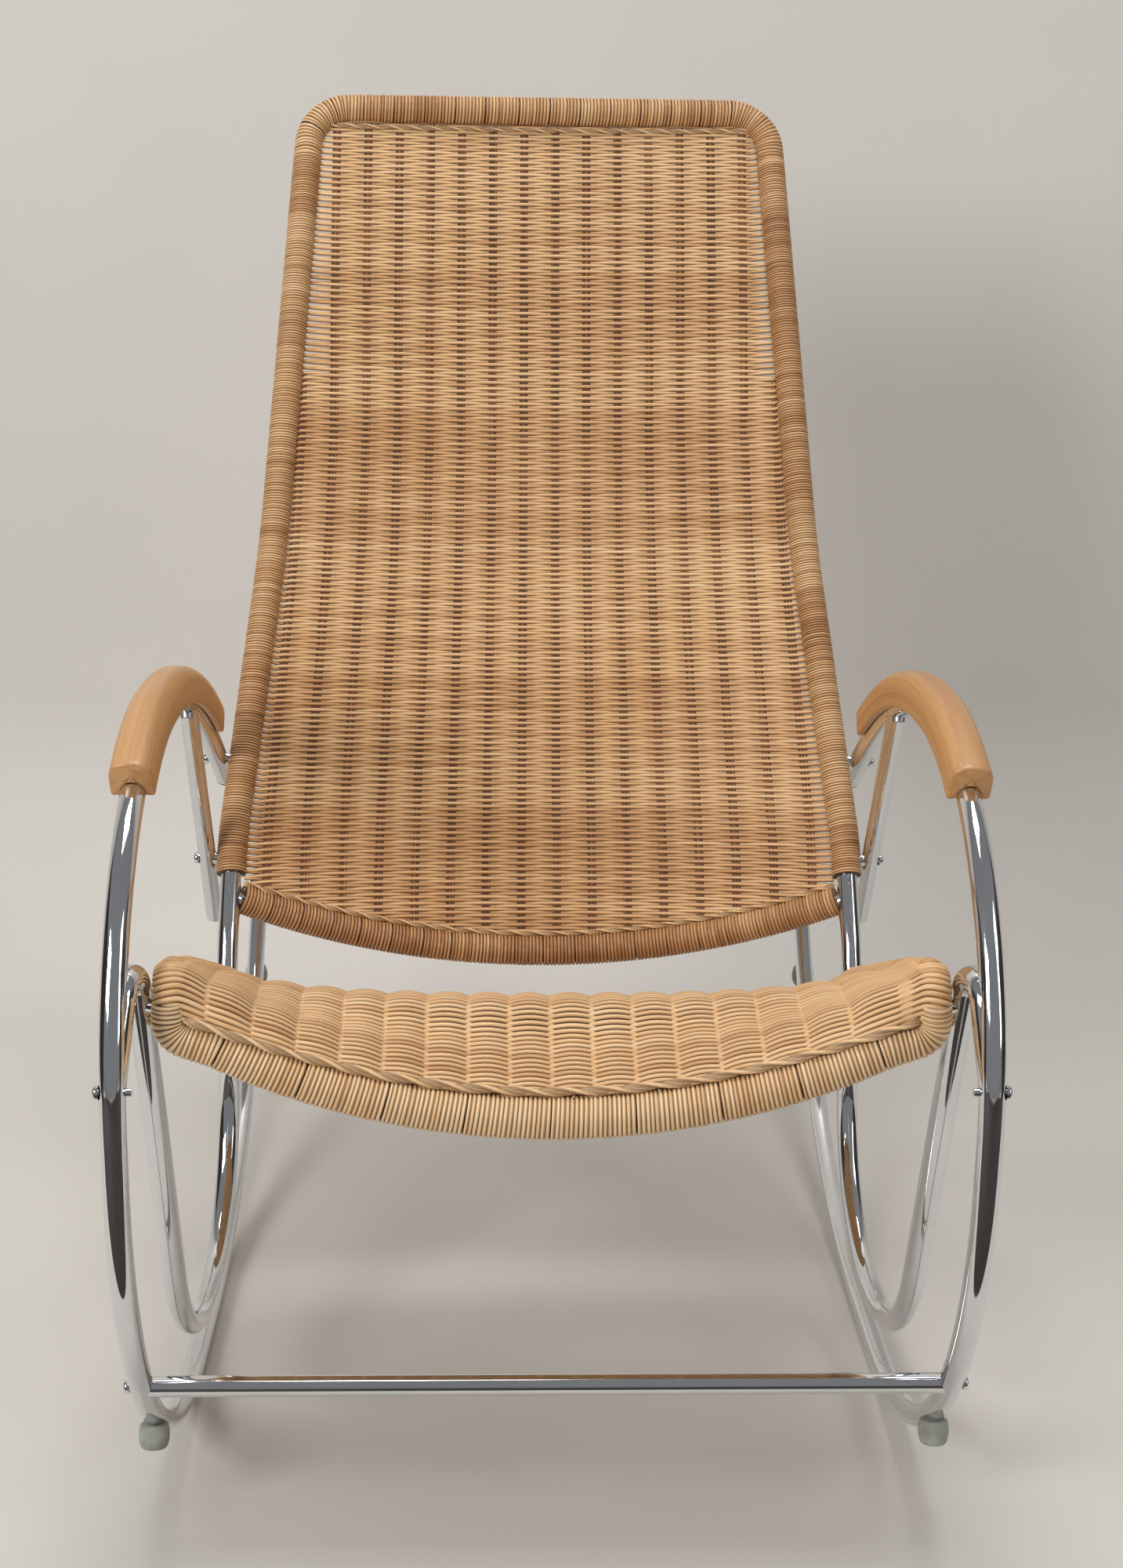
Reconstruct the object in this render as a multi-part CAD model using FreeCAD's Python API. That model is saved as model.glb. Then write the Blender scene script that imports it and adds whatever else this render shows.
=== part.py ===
"""Rocking chair of chromed steel tube with a woven rattan seat and back.

Two flat side frames of bent tube roll on the floor and carry beech arm pads. Between them hangs a
shell: the back hoop is the back's top and sides, and from its feet a loop on each side runs down under
the seat, up in front and over an arch onto the side frame. A ring carried by the loops is the seat's
edge. Rattan is wound on the rails and woven between.

Millimetres. +Z is up, the sitter faces -Y, and left is -X, as seen from the front. The origin is on
the floor in the middle of the chair's box. Side shapes are drawn as (y, z) from the front of the tube.
"""
import FreeCAD
import Part
import math
import os

from FreeCAD import Vector

# Stock
TUBE_OD = 19.0
TUBE_WALL = 1.5
BRACE_OD = 16.0
BRACE_WALL = 1.5
ROLL_OD = 28.0
FRONT_ROLL_OD = 34.0
WEAVE_THICKNESS = 5.0
BOLT_D = 6.0
SCREW_D = 4.0
FIT = 0.2
SOFT_GAP = 0.6

# Side frames
SIDE_X = 310.0
ARM_TOP_Z = 625.0
FRONT_UPPER_RADIUS = 250.0
FRONT_LOWER_RADIUS = 340.0
RUNNER_FLAT = 108.0
RUNNER_RADIUS = 600.0
RUNNER_TURN = 52.0
RUNNER_TAIL = 60.0
ARM_BEND_Y = 415.0
ARM_BEND_RADIUS = 400.0
ARM_JOINT_Z = 515.0
ARM_END_PAST_RAIL = 40.0

# Shell: the back hoop and the loops that carry the seat
SHELL_X = 285.0
WAIST_X = 258.0
BACK_TOP_X = 230.0
HOOP_JOINT_Z = 418.0
BACK_FOOT = (512.0, 450.0)
BACK_FOOT_RADIUS = 400.0
BACK_WAIST = (672.0, 700.0)
BACK_WAIST_RADIUS = 700.0
BACK_TOP = (867.0, 1111.0)
BACK_CORNER_RADIUS = 42.0
SEAT_BEND = (432.0, 338.0)
SEAT_BEND_RADIUS = 160.0
LOOP_BOTTOM_Z = 104.0
LOOP_REAR_Y = 438.0
LOOP_FRONT_Y = 178.0
LOOP_FRONT_X = 294.0
LOOP_REAR_RADIUS = 150.0
LOOP_FRONT_RADIUS = 130.0
ARCH = (45.0, 526.0)
ARCH_X = 300.0
ARCH_RADIUS = 20.0
ARCH_END_Z = 416.0
SPIGOT_LENGTH = 40.0

# Seat ring: both side rails and the dished front rail
RING_X = 277.0
RING_TOP = (52.0, 490.0)
RING_TOP_RADIUS = 22.0
RING_LOW = (55.0, 437.0)
RING_LOW_RADIUS = 20.0
RING_MID_Y = 60.0
SEAT_FRONT_DIP = 122.0
SEAT_FRONT_RADIUS = 550.0
SEAT_CREST_MID = (160.0, 432.0)
LUG_Z = 458.0
LUG_D = 10.0

# Cross rails of the shell, at the hoop and at the middle of the chair
LOWER_RAIL_Z = 403.0
LOWER_RAIL_MID = (522.0, 336.0)
SEAT_REAR_Z = 316.0
SEAT_REAR_MID = (464.0, 296.0)

# Arm struts
STRUT_TOP_Y = 405.0
STRUT_BOLT_Z = 434.0
STRUT_PAST_BOLT = 78.0

# Crossbars
FRONT_BAR_ANGLE = 53.45
REAR_BAR_FROM_END = 24.0
INSERT_LENGTH = 26.0
BOLT_GRIP = 18.0

# Arm pads
PAD_WIDTH = 33.0
PAD_ABOVE_TUBE = 19.0
PAD_CROWN = 9.0
PAD_SKIRT = 3.0
PAD_FRONT_SHARE = 0.305
PAD_REAR_SHARE = 0.92
PAD_SCREW_DEPTH = 15.0
PAD_FRONT_SCREW = 0.15
PAD_REAR_SCREW = 0.5

# Rubber stops
STOP_D = 24.5
STOP_REACH = 27.0
STOP_SADDLE = 7.5
STOP_EDGE_RADIUS = 5.0
STOP_HEAD_DEPTH = 6.0
FRONT_STOP_ANGLE = 41.0
FRONT_STOP_TILT = 15.0
REAR_STOP_TURN = 46.0
REAR_STOP_TILT = 20.0

# Bolt heads, spacers and caps
HEAD_D = 11.0
HEAD_HEIGHT = 4.0
HEAD_EDGE = 2.5
SPACER_D = 12.0
CAP_DOME = 5.0
CAP_EDGE = 3.5
CAP_PLUG = 14.0

# Winding and weave
WRAP_START_Z = 421.0
WRAP_CORNER = 56.0
RING_WRAP_RISE = 14.0
CROSS_WRAP_SHARE = 0.03
SEAT_WRAP_REAR = 34.0
BACK_DISH_TOP = 6.0
BACK_DISH_POWER = 1.4
SEAT_FRONT_LEAN = -50.0
SEAT_TURN_BACK = 36.0
SEAT_CREST_BACK = 92.0
SEAT_SPAN_STEPS = 3
SEAT_SHARES = (0.0, 0.35, 0.7, 1.0)

TUBE_R = TUBE_OD / 2
BRACE_R = BRACE_OD / 2
ROLL_R = ROLL_OD / 2
FRONT_ROLL_R = FRONT_ROLL_OD / 2
ACROSS = FreeCAD.Vector(1, 0, 0)


def corner_arc(before, corner, after, radius):
    """The arc that rounds a corner of a bent wire."""
    back = (before - corner).normalize()
    onward = (after - corner).normalize()
    half = back.getAngle(onward) / 2
    reach = radius / math.tan(half)
    inward = (back + onward).normalize()
    middle = corner + inward * (radius / math.sin(half) - radius)
    return Part.Arc(corner + back * reach, middle, corner + onward * reach).toShape()


def end_points(edge):
    """The first and last points of an edge."""
    return edge.valueAt(edge.FirstParameter), edge.valueAt(edge.LastParameter)


def bent_wire(points, radii):
    """Straight runs through the points, with a tangent arc at each inner point."""
    edges = []
    start = points[0]
    for before, corner, after, radius in zip(points, points[1:], points[2:], radii):
        arc = corner_arc(before, corner, after, radius)
        enter, leave = end_points(arc)
        if (enter - start).Length > FIT:
            edges.append(Part.LineSegment(start, enter).toShape())
        edges.append(arc)
        start = leave
    edges.append(Part.LineSegment(start, points[-1]).toShape())
    return Part.Wire(edges)


def rod(wire, radius):
    """A round rod along a wire."""
    first = wire.OrderedEdges[0]
    heading = first.tangentAt(first.FirstParameter)
    ring = Part.Wire([Part.makeCircle(radius, first.valueAt(first.FirstParameter), heading)])
    return wire.makePipeShell([ring], True, False)


def tube(wire, outer_radius, wall):
    """A hollow tube along a wire."""
    return rod(wire, outer_radius).cut(rod(wire, outer_radius - wall))


def straight(start, end):
    """A wire of one straight run."""
    return Part.Wire([Part.LineSegment(start, end).toShape()])


def arch(start, middle, end):
    """A wire of one arc through three points."""
    return Part.Wire([Part.Arc(start, middle, end).toShape()])


def pin(start, heading, length, radius):
    """A cylinder from a point along a direction."""
    return Part.makeCylinder(radius, length, start, heading)


def mirrored(shape):
    """The same piece on the chair's other side."""
    return shape.mirror(Vector(0, 0, 0), Vector(1, 0, 0))


def at_x(x, side_point):
    """A side point (y, z) placed at a distance across the chair."""
    return Vector(x, side_point[0], side_point[1])


def along(start, end, share):
    """The point part of the way from one point to another."""
    return start + (end - start) * share


def at_height(start, end, z):
    """The point at a height on the line through two points."""
    return along(start, end, (z - start.z) / (end.z - start.z))


def point_at(edge, share):
    """The point at a share of an edge's length."""
    return edge.valueAt(edge.FirstParameter + (edge.LastParameter - edge.FirstParameter) * share)


def part_of_arc(edge, first_share, last_share):
    """A stretch of an arc, by shares of its length."""
    shares = [first_share, (first_share + last_share) / 2, last_share]
    return arch(*[point_at(edge, share) for share in shares])


def flipped(point):
    """The point on the chair's other side."""
    return Vector(-point.x, point.y, point.z)


def sleeve(wire, inner_radius, outer_radius):
    """A plain layer of winding on a rod, clear of it by the fit."""
    return rod(wire, outer_radius).cut(rod(wire, inner_radius + FIT))


# Corners of the shell's left side, from the back's top down round the loop to its arch
back_top = at_x(-BACK_TOP_X, BACK_TOP)
waist = at_x(-WAIST_X, BACK_WAIST)
back_foot = at_x(-SHELL_X, BACK_FOOT)
seat_bend = at_x(-SHELL_X, SEAT_BEND)
hoop_joint = at_height(seat_bend, back_foot, HOOP_JOINT_Z)
loop_rear = Vector(-SHELL_X, LOOP_REAR_Y, LOOP_BOTTOM_Z)
loop_front = Vector(-LOOP_FRONT_X, LOOP_FRONT_Y, LOOP_BOTTOM_Z)
loop_arch = at_x(-ARCH_X, ARCH)

# Back hoop: top rail and both side rails in one bent tube
back_half = [hoop_joint, back_foot, waist, back_top]
back_radii = [BACK_FOOT_RADIUS, BACK_WAIST_RADIUS, BACK_CORNER_RADIUS]
back_wire = bent_wire(back_half + [flipped(p) for p in back_half[::-1]], back_radii + back_radii[::-1])
back_rod = rod(back_wire, TUBE_R)
back_hoop = tube(back_wire, TUBE_R, TUBE_WALL)

# Side frame: one bent tube from the back rail over the arm, down the front and along the floor
arm_joint = at_height(back_foot, waist, ARM_JOINT_Z)
arm_bend = Vector(-SIDE_X, ARM_BEND_Y, ARM_TOP_Z)
arm_drop = arm_joint - ACROSS * (ROLL_R + SOFT_GAP + TUBE_R)
arm_heading = (arm_drop - arm_bend).normalize()
arm_end = arm_drop + arm_heading * ARM_END_PAST_RAIL
front_top = Vector(-SIDE_X, 0, ARM_TOP_Z)
front_low = Vector(-SIDE_X, 0, TUBE_R)
runner_rise = math.radians(RUNNER_TURN)
runner_reach = RUNNER_RADIUS * math.tan(runner_rise / 2)
runner_start_y = FRONT_LOWER_RADIUS + RUNNER_FLAT
runner_corner = Vector(-SIDE_X, runner_start_y + runner_reach, TUBE_R)
runner_heading = Vector(0, math.cos(runner_rise), math.sin(runner_rise))
runner_end = runner_corner + runner_heading * (runner_reach + RUNNER_TAIL)
side_points = [arm_end, arm_bend, front_top, front_low, runner_corner, runner_end]
side_radii = [ARM_BEND_RADIUS, FRONT_UPPER_RADIUS, FRONT_LOWER_RADIUS, RUNNER_RADIUS]
side_wire = bent_wire(side_points, side_radii)
side_rod = rod(side_wire, TUBE_R)
side_tube = tube(side_wire, TUBE_R, TUBE_WALL)

# Arcs of the side frame
upper_centre = Vector(-SIDE_X, FRONT_UPPER_RADIUS, ARM_TOP_Z - FRONT_UPPER_RADIUS)
lower_centre = Vector(-SIDE_X, FRONT_LOWER_RADIUS, TUBE_R + FRONT_LOWER_RADIUS)
runner_centre = Vector(-SIDE_X, runner_start_y, TUBE_R + RUNNER_RADIUS)
upper_arc = corner_arc(arm_bend, front_top, front_low, FRONT_UPPER_RADIUS)
arm_arc = corner_arc(arm_end, arm_bend, front_top, ARM_BEND_RADIUS)


def leaning(turn):
    """The upward direction, leaned towards the back by an angle in radians."""
    return Vector(0, math.sin(turn), math.cos(turn))


def front_arc_point(angle):
    """The point on the side tube's lower front arc, by its angle from the arc's foot in degrees."""
    return lower_centre - leaning(math.radians(angle)) * FRONT_LOWER_RADIUS


def front_line_point(z):
    """The point at a height on the side tube's upright front, just above its lower arc."""
    rise = max(0.0, z - upper_centre.z)
    return Vector(-SIDE_X, upper_centre.y - math.sqrt(FRONT_UPPER_RADIUS ** 2 - rise ** 2), z)


# Loop: from the hoop joint down under the seat, up to its arch and onto the side frame
arch_end = front_line_point(ARCH_END_Z)
loop_points = [hoop_joint, seat_bend, loop_rear, loop_front, loop_arch, arch_end]
loop_radii = [SEAT_BEND_RADIUS, LOOP_REAR_RADIUS, LOOP_FRONT_RADIUS, ARCH_RADIUS]
loop_wire = bent_wire(loop_points, loop_radii)
loop_rod = rod(loop_wire, TUBE_R)
loop_tube = tube(loop_wire, TUBE_R, TUBE_WALL).cut(side_rod)


def coped(shape):
    """A rail across the chair, its ends cut to the two loops."""
    return shape.cut(loop_rod).cut(mirrored(loop_rod))


# Cross rails of the shell
lower_end = at_height(seat_bend, back_foot, LOWER_RAIL_Z)
lower_wire = arch(lower_end, at_x(0, LOWER_RAIL_MID), flipped(lower_end))
back_lower_rail = coped(tube(lower_wire, BRACE_R, BRACE_WALL))
seat_rear_end = at_height(loop_rear, seat_bend, SEAT_REAR_Z)
seat_rear_wire = arch(seat_rear_end, at_x(0, SEAT_REAR_MID), flipped(seat_rear_end))
seat_rear_rail = coped(tube(seat_rear_wire, BRACE_R, BRACE_WALL))

# Seat ring: from the loop's bend forward, down at the corner and across the dished front
ring_rear = point_at(corner_arc(hoop_joint, seat_bend, loop_rear, SEAT_BEND_RADIUS), 0.5)
ring_top = at_x(-RING_X, RING_TOP)
ring_low = at_x(-RING_X, RING_LOW)
ring_mid = Vector(0, RING_MID_Y, RING_LOW[1] - SEAT_FRONT_DIP)
ring_half = [ring_rear, ring_top, ring_low]
ring_points = ring_half + [ring_mid] + [flipped(p) for p in ring_half[::-1]]
ring_radii = [RING_TOP_RADIUS, RING_LOW_RADIUS, SEAT_FRONT_RADIUS, RING_LOW_RADIUS, RING_TOP_RADIUS]
ring_wire = bent_wire(ring_points, ring_radii)
ring_rod = rod(ring_wire, BRACE_R)
seat_ring = coped(tube(ring_wire, BRACE_R, BRACE_WALL))

# Lug between the loop and the seat ring's front corner
lug_loop = at_height(loop_front, loop_arch, LUG_Z)
lug_ring = at_height(ring_low, ring_top, LUG_Z)
lug_way = lug_ring - lug_loop
seat_lug = pin(lug_loop, lug_way, lug_way.Length, LUG_D / 2).cut(loop_rod).cut(ring_rod)
lug_hole = pin(lug_loop, lug_way, lug_way.Length, LUG_D / 2 + SOFT_GAP)

# Arm strut: from under the arm, past the back rail
strut_share = (arm_arc.BoundBox.YMax - STRUT_TOP_Y) / arm_arc.BoundBox.YLength
strut_top = point_at(arm_arc, strut_share)
strut_seat = at_height(seat_bend, back_foot, STRUT_BOLT_Z)
strut_bolt_at = strut_seat - ACROSS * (ROLL_R + SOFT_GAP + BRACE_R)
strut_end = strut_bolt_at + (strut_bolt_at - strut_top).normalize() * STRUT_PAST_BOLT
strut_wire = straight(strut_top, strut_end)
strut_rod = rod(strut_wire, BRACE_R)
arm_strut = tube(strut_wire, BRACE_R, BRACE_WALL).cut(side_rod)


def bolt(outer_x, at, length):
    """A domed bolt that enters from the chair's left, with its head's seat at outer_x."""
    seat = Vector(outer_x, at.y, at.z)
    head = pin(seat, ACROSS * -1, HEAD_HEIGHT, HEAD_D / 2)
    crown = [edge for edge in head.Edges if abs(edge.CenterOfMass.x - seat.x + HEAD_HEIGHT) < FIT]
    head = head.makeFillet(HEAD_EDGE, crown[:1])
    return head.fuse(pin(seat, ACROSS, length, BOLT_D / 2)).removeSplitter()


def bolt_hole(at):
    """The clearance hole of a bolt across the left side of the chair."""
    start = Vector(-SIDE_X - TUBE_OD, at.y, at.z)
    return pin(start, ACROSS, SIDE_X, BOLT_D / 2 + FIT)


def spacer(at, hub, radius, rail):
    """A collar on a bolt, between an outer tube and a rail of the shell."""
    collar = pin(Vector(at.x, at.y, at.z), ACROSS, hub.x - at.x, radius)
    return collar.cut(bolt_hole(at)).cut(rail)


# Crossbars between the side frames, with a threaded plug and a bolt in each end
tube_outer_x = -SIDE_X - TUBE_R
bar_points = [front_arc_point(FRONT_BAR_ANGLE), runner_end - runner_heading * REAR_BAR_FROM_END]
bars = []
inserts = []
bar_bolts = []
insert_x = -SIDE_X + TUBE_R
for point in bar_points:
    full_bar = tube(straight(point, flipped(point)), BRACE_R, BRACE_WALL)
    bars.append(full_bar.cut(side_rod).cut(mirrored(side_rod)))
    plug_at = Vector(insert_x, point.y, point.z)
    plug = pin(plug_at, ACROSS, INSERT_LENGTH, BRACE_R - BRACE_WALL - FIT).cut(bolt_hole(point))
    inserts.append(plug)
    bar_bolts.append(bolt(tube_outer_x, point, TUBE_OD + BOLT_GRIP))
front_crossbar, rear_crossbar = bars

# Bolts that tie the side frame to the shell
strut_bolt = bolt(strut_bolt_at.x - BRACE_R, strut_bolt_at, BRACE_R + strut_seat.x - strut_bolt_at.x)
arm_bolt = bolt(arm_drop.x - TUBE_R, arm_drop, TUBE_R + arm_joint.x - arm_drop.x)
arch_bolt = bolt(tube_outer_x, arch_end, TUBE_OD + HEAD_HEIGHT)
strut_spacer = spacer(strut_bolt_at, strut_seat, SPACER_D / 2, back_rod).cut(strut_rod)
arm_spacer = spacer(arm_drop, arm_joint, SPACER_D / 2, back_rod).cut(side_rod)
tie_holes = [bolt_hole(strut_bolt_at), bolt_hole(arm_drop)]
collar_holes = [
    pin(strut_bolt_at, ACROSS, strut_seat.x - strut_bolt_at.x, SPACER_D / 2 + SOFT_GAP),
    pin(arm_drop, ACROSS, arm_joint.x - arm_drop.x, SPACER_D / 2 + SOFT_GAP),
]
side_holes = [bolt_hole(point) for point in bar_points + [arm_drop, arch_end]]

# Sleeve inside each hoop joint
joint_heading = (back_foot - seat_bend).normalize()
spigot_start = hoop_joint - joint_heading * (SPIGOT_LENGTH / 2)
spigot = pin(spigot_start, joint_heading, SPIGOT_LENGTH, TUBE_R - TUBE_WALL - FIT).cut(tie_holes[0])

# Arm pad: a domed section with a groove for the tube, swept along the arm
pad_wire = Part.Wire(
    part_of_arc(upper_arc, PAD_FRONT_SHARE, 0).Edges
    + [Part.LineSegment(end_points(upper_arc)[0], end_points(arm_arc)[1]).toShape()]
    + part_of_arc(arm_arc, 1, 1 - PAD_REAR_SHARE).Edges
)
pad_start = point_at(upper_arc, PAD_FRONT_SHARE)
pad_up = (pad_start - upper_centre).normalize()


def pad_point(across, up):
    """A point of the pad's section at its front end."""
    return pad_start + ACROSS * across + pad_up * up


pad_half = PAD_WIDTH / 2
pad_height = TUBE_R + PAD_ABOVE_TUBE
groove = TUBE_R + FIT
groove_half = math.sqrt(groove ** 2 - PAD_SKIRT ** 2)
shoulder = pad_height - PAD_CROWN
groove_ends = [pad_point(side * groove_half, -PAD_SKIRT) for side in (1, -1)]
groove_arc = arch(groove_ends[0], pad_point(0, groove), groove_ends[1]).Edges[0]
pad_section = Part.Wire([
    Part.LineSegment(pad_point(-pad_half, -PAD_SKIRT), pad_point(-pad_half, shoulder)).toShape(),
    arch(pad_point(-pad_half, shoulder), pad_point(0, pad_height), pad_point(pad_half, shoulder)).Edges[0],
    Part.LineSegment(pad_point(pad_half, shoulder), pad_point(pad_half, -PAD_SKIRT)).toShape(),
    Part.LineSegment(pad_point(pad_half, -PAD_SKIRT), pad_point(groove_half, -PAD_SKIRT)).toShape(),
    groove_arc,
    Part.LineSegment(pad_point(-groove_half, -PAD_SKIRT), pad_point(-pad_half, -PAD_SKIRT)).toShape(),
])
armrest = pad_wire.makePipeShell([pad_section], True, False)

# Screws up through the arm tube into the pad
pad_screws = []
for arc, share in ((upper_arc, PAD_FRONT_SCREW), (arm_arc, PAD_REAR_SCREW)):
    middle = point_at(arc, share)
    up = (middle - arc.Curve.Center).normalize()
    under = middle - up * TUBE_R
    head = pin(under, up * -1, HEAD_HEIGHT, HEAD_D / 2)
    shank = pin(under, up, TUBE_OD + PAD_SCREW_DEPTH, SCREW_D / 2)
    pad_screws.append(head.fuse(shank).removeSplitter())
    screw_hole = pin(under - up * FIT, up, TUBE_OD + PAD_SCREW_DEPTH + 2 * FIT, SCREW_D / 2 + FIT)
    side_holes.append(screw_hole)
    armrest = armrest.cut(screw_hole)


def stop(at, heading):
    """A rubber stop that hugs the tube, and the screw that holds it."""
    body = pin(at + heading * STOP_SADDLE, heading, STOP_REACH - STOP_SADDLE, STOP_D / 2)
    foot = at + heading * STOP_REACH
    rim = [edge for edge in body.Edges if (edge.CenterOfMass - foot).Length < FIT]
    body = body.makeFillet(STOP_EDGE_RADIUS, rim[:1]).cut(rod(side_wire, TUBE_R + FIT))
    bore = pin(at, heading, STOP_REACH, SCREW_D / 2 + FIT)
    pocket = pin(foot - heading * STOP_HEAD_DEPTH, heading, STOP_HEAD_DEPTH, HEAD_D / 2 + FIT)
    head = pin(foot - heading * STOP_HEAD_DEPTH, heading, HEAD_HEIGHT, HEAD_D / 2)
    shank = pin(at + heading * (TUBE_R / 2), heading, STOP_REACH - STOP_HEAD_DEPTH - TUBE_R / 2, SCREW_D / 2)
    return body.cut(bore).cut(pocket), head.fuse(shank).removeSplitter(), bore


front_stop_at = front_arc_point(FRONT_STOP_ANGLE)
front_stop, front_screw, front_bore = stop(front_stop_at, leaning(math.radians(FRONT_STOP_TILT)) * -1)
rear_stop_at = runner_centre - leaning(-math.radians(REAR_STOP_TURN)) * RUNNER_RADIUS
rear_stop, rear_screw, rear_bore = stop(rear_stop_at, leaning(-math.radians(REAR_STOP_TILT)) * -1)
side_holes += [front_bore, rear_bore]

# Finished side tube, strut and hoops with their holes
for hole in side_holes:
    side_tube = side_tube.cut(hole)
arm_strut = arm_strut.cut(tie_holes[0])
loop_tube = loop_tube.cut(bolt_hole(arch_end))
for hole in tie_holes:
    back_hoop = back_hoop.cut(hole).cut(mirrored(hole))


def end_cap(at, heading):
    """A plug with a rounded cover in the end of a tube."""
    cover = pin(at, heading, CAP_DOME, TUBE_R)
    rim = [edge for edge in cover.Edges if (edge.CenterOfMass - at - heading * CAP_DOME).Length < FIT]
    cover = cover.makeFillet(CAP_EDGE, rim[:1])
    return cover.fuse(pin(at, heading * -1, CAP_PLUG, TUBE_R - TUBE_WALL - FIT)).removeSplitter()


runner_cap = end_cap(runner_end, runner_heading)
arm_cap = end_cap(arm_end, arm_heading)

# Winding on the back's rails
wrap_start = at_height(seat_bend, back_foot, WRAP_START_Z)
wrap_end = back_top + (waist - back_top).normalize() * WRAP_CORNER
side_wrap_wire = bent_wire([wrap_start, back_foot, waist, wrap_end], [BACK_FOOT_RADIUS, BACK_WAIST_RADIUS])
back_side_wrap = sleeve(side_wrap_wire, TUBE_R, ROLL_R)
for hole in collar_holes:
    back_side_wrap = back_side_wrap.cut(hole)
top_start = back_top + (waist - back_top).normalize() * (WRAP_CORNER - FIT)
top_wrap_points = [top_start, back_top, flipped(back_top), flipped(top_start)]
top_wrap_wire = bent_wire(top_wrap_points, [BACK_CORNER_RADIUS] * 2)
back_top_wrap = sleeve(top_wrap_wire, TUBE_R, ROLL_R)
lower_wrap_wire = part_of_arc(lower_wire.Edges[0], CROSS_WRAP_SHARE, 1 - CROSS_WRAP_SHARE)
back_lower_wrap = sleeve(lower_wrap_wire, BRACE_R, ROLL_R)

# Winding on the seat's rails
ring_rise = (ring_top - ring_low).normalize()
front_wrap_end = ring_low + ring_rise * (RING_WRAP_RISE - FIT)
front_wrap_points = [front_wrap_end, ring_low, ring_mid, flipped(ring_low), flipped(front_wrap_end)]
front_wrap_wire = bent_wire(front_wrap_points, [RING_LOW_RADIUS, SEAT_FRONT_RADIUS, RING_LOW_RADIUS])
loop_clear = rod(loop_wire, TUBE_R + FIT)
seat_front_wrap = sleeve(front_wrap_wire, BRACE_R, FRONT_ROLL_R).cut(loop_clear).cut(mirrored(loop_clear))
seat_run = (ring_rear - ring_top).normalize()
seat_wrap_end = ring_rear - seat_run * SEAT_WRAP_REAR
side_wrap_start = ring_low + ring_rise * RING_WRAP_RISE
seat_wrap_wire = bent_wire([side_wrap_start, ring_top, seat_wrap_end], [RING_TOP_RADIUS])
seat_side_wrap = sleeve(seat_wrap_wire, BRACE_R, ROLL_R).cut(lug_hole).cut(loop_clear)
seat_rear_wrap_wire = part_of_arc(seat_rear_wire.Edges[0], CROSS_WRAP_SHARE, 1 - CROSS_WRAP_SHARE)
seat_rear_wrap = sleeve(seat_rear_wrap_wire, BRACE_R, ROLL_R)


def smooth_points(points, steps):
    """Points on the smooth curve through the given points, a number of steps for each span."""
    ends = [points[0] * 2 - points[1]] + points + [points[-1] * 2 - points[-2]]
    result = []
    for before, start, end, after in zip(ends, ends[1:], ends[2:], ends[3:]):
        leave = (end - before) * 0.5
        arrive = (after - start) * 0.5
        for step in range(steps):
            t = step / steps
            held = start * (2 * t ** 3 - 3 * t ** 2 + 1) + end * (3 * t ** 2 - 2 * t ** 3)
            result.append(held + leave * (t ** 3 - 2 * t ** 2 + t) + arrive * (t ** 3 - t ** 2))
    return result + [points[-1]]


def woven(stations):
    """A thin dished panel through (edge, middle, facing) stations, its edges at the left and mirrored."""
    sections = []
    ends = []
    for edge, middle, facing in stations:
        lift = facing * (WEAVE_THICKNESS / 2)
        front = Part.Arc(edge + lift, middle + lift, flipped(edge) + lift).toShape()
        rear = Part.Arc(flipped(edge) - lift, middle - lift, edge - lift).toShape()
        right = Part.LineSegment(flipped(edge) + lift, flipped(edge) - lift).toShape()
        left = Part.LineSegment(edge - lift, edge + lift).toShape()
        sections.append(Part.Wire([front, right, rear, left]))
        ends.append(Part.makeRuledSurface(front, rear))
    skin = Part.makeShell(Part.makeLoft(sections, False, True).Faces + [ends[0], ends[-1]])
    skin.sewShape()
    solid = Part.makeSolid(skin)
    if solid.Volume < 0:
        solid.reverse()
    return solid


# Woven back, dished from the top rail to the lower rail
inset = ACROSS * (ROLL_R + SOFT_GAP)
back_run = (waist - back_foot).normalize()
low_edge = at_height(seat_bend, back_foot, LOWER_RAIL_Z + ROLL_R + TUBE_R)
low_middle = at_x(0, LOWER_RAIL_MID) + Vector(0, back_run.y, back_run.z) * (ROLL_R + SOFT_GAP)
top_edge = back_top + (waist - back_top).normalize() * (ROLL_R + SOFT_GAP)
low_dish = low_middle - Vector(0, low_edge.y, low_edge.z)
top_facing = leaning(math.atan2(back_top.y - waist.y, back_top.z - waist.z) - math.pi / 2)
low_facing = leaning(math.atan2(back_run.y, back_run.z) - math.pi / 2)
back_rows = [along(low_edge, waist, share) for share in (0.0, 0.35, 0.7)]
back_rows += [along(waist, top_edge, share) for share in (0.1, 0.4, 0.7, 1.0)]
back_stations = []
for point in back_rows:
    height = (point.z - low_edge.z) / (top_edge.z - low_edge.z)
    dish = low_dish * (1 - height) ** BACK_DISH_POWER - top_facing * (BACK_DISH_TOP * height)
    facing = along(low_facing, top_facing, height).normalize()
    back_stations.append((point + inset, Vector(0, point.y, point.z) + dish, facing))
back_weave = woven(back_stations).cut(rod(top_wrap_wire, ROLL_R + SOFT_GAP))

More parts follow.
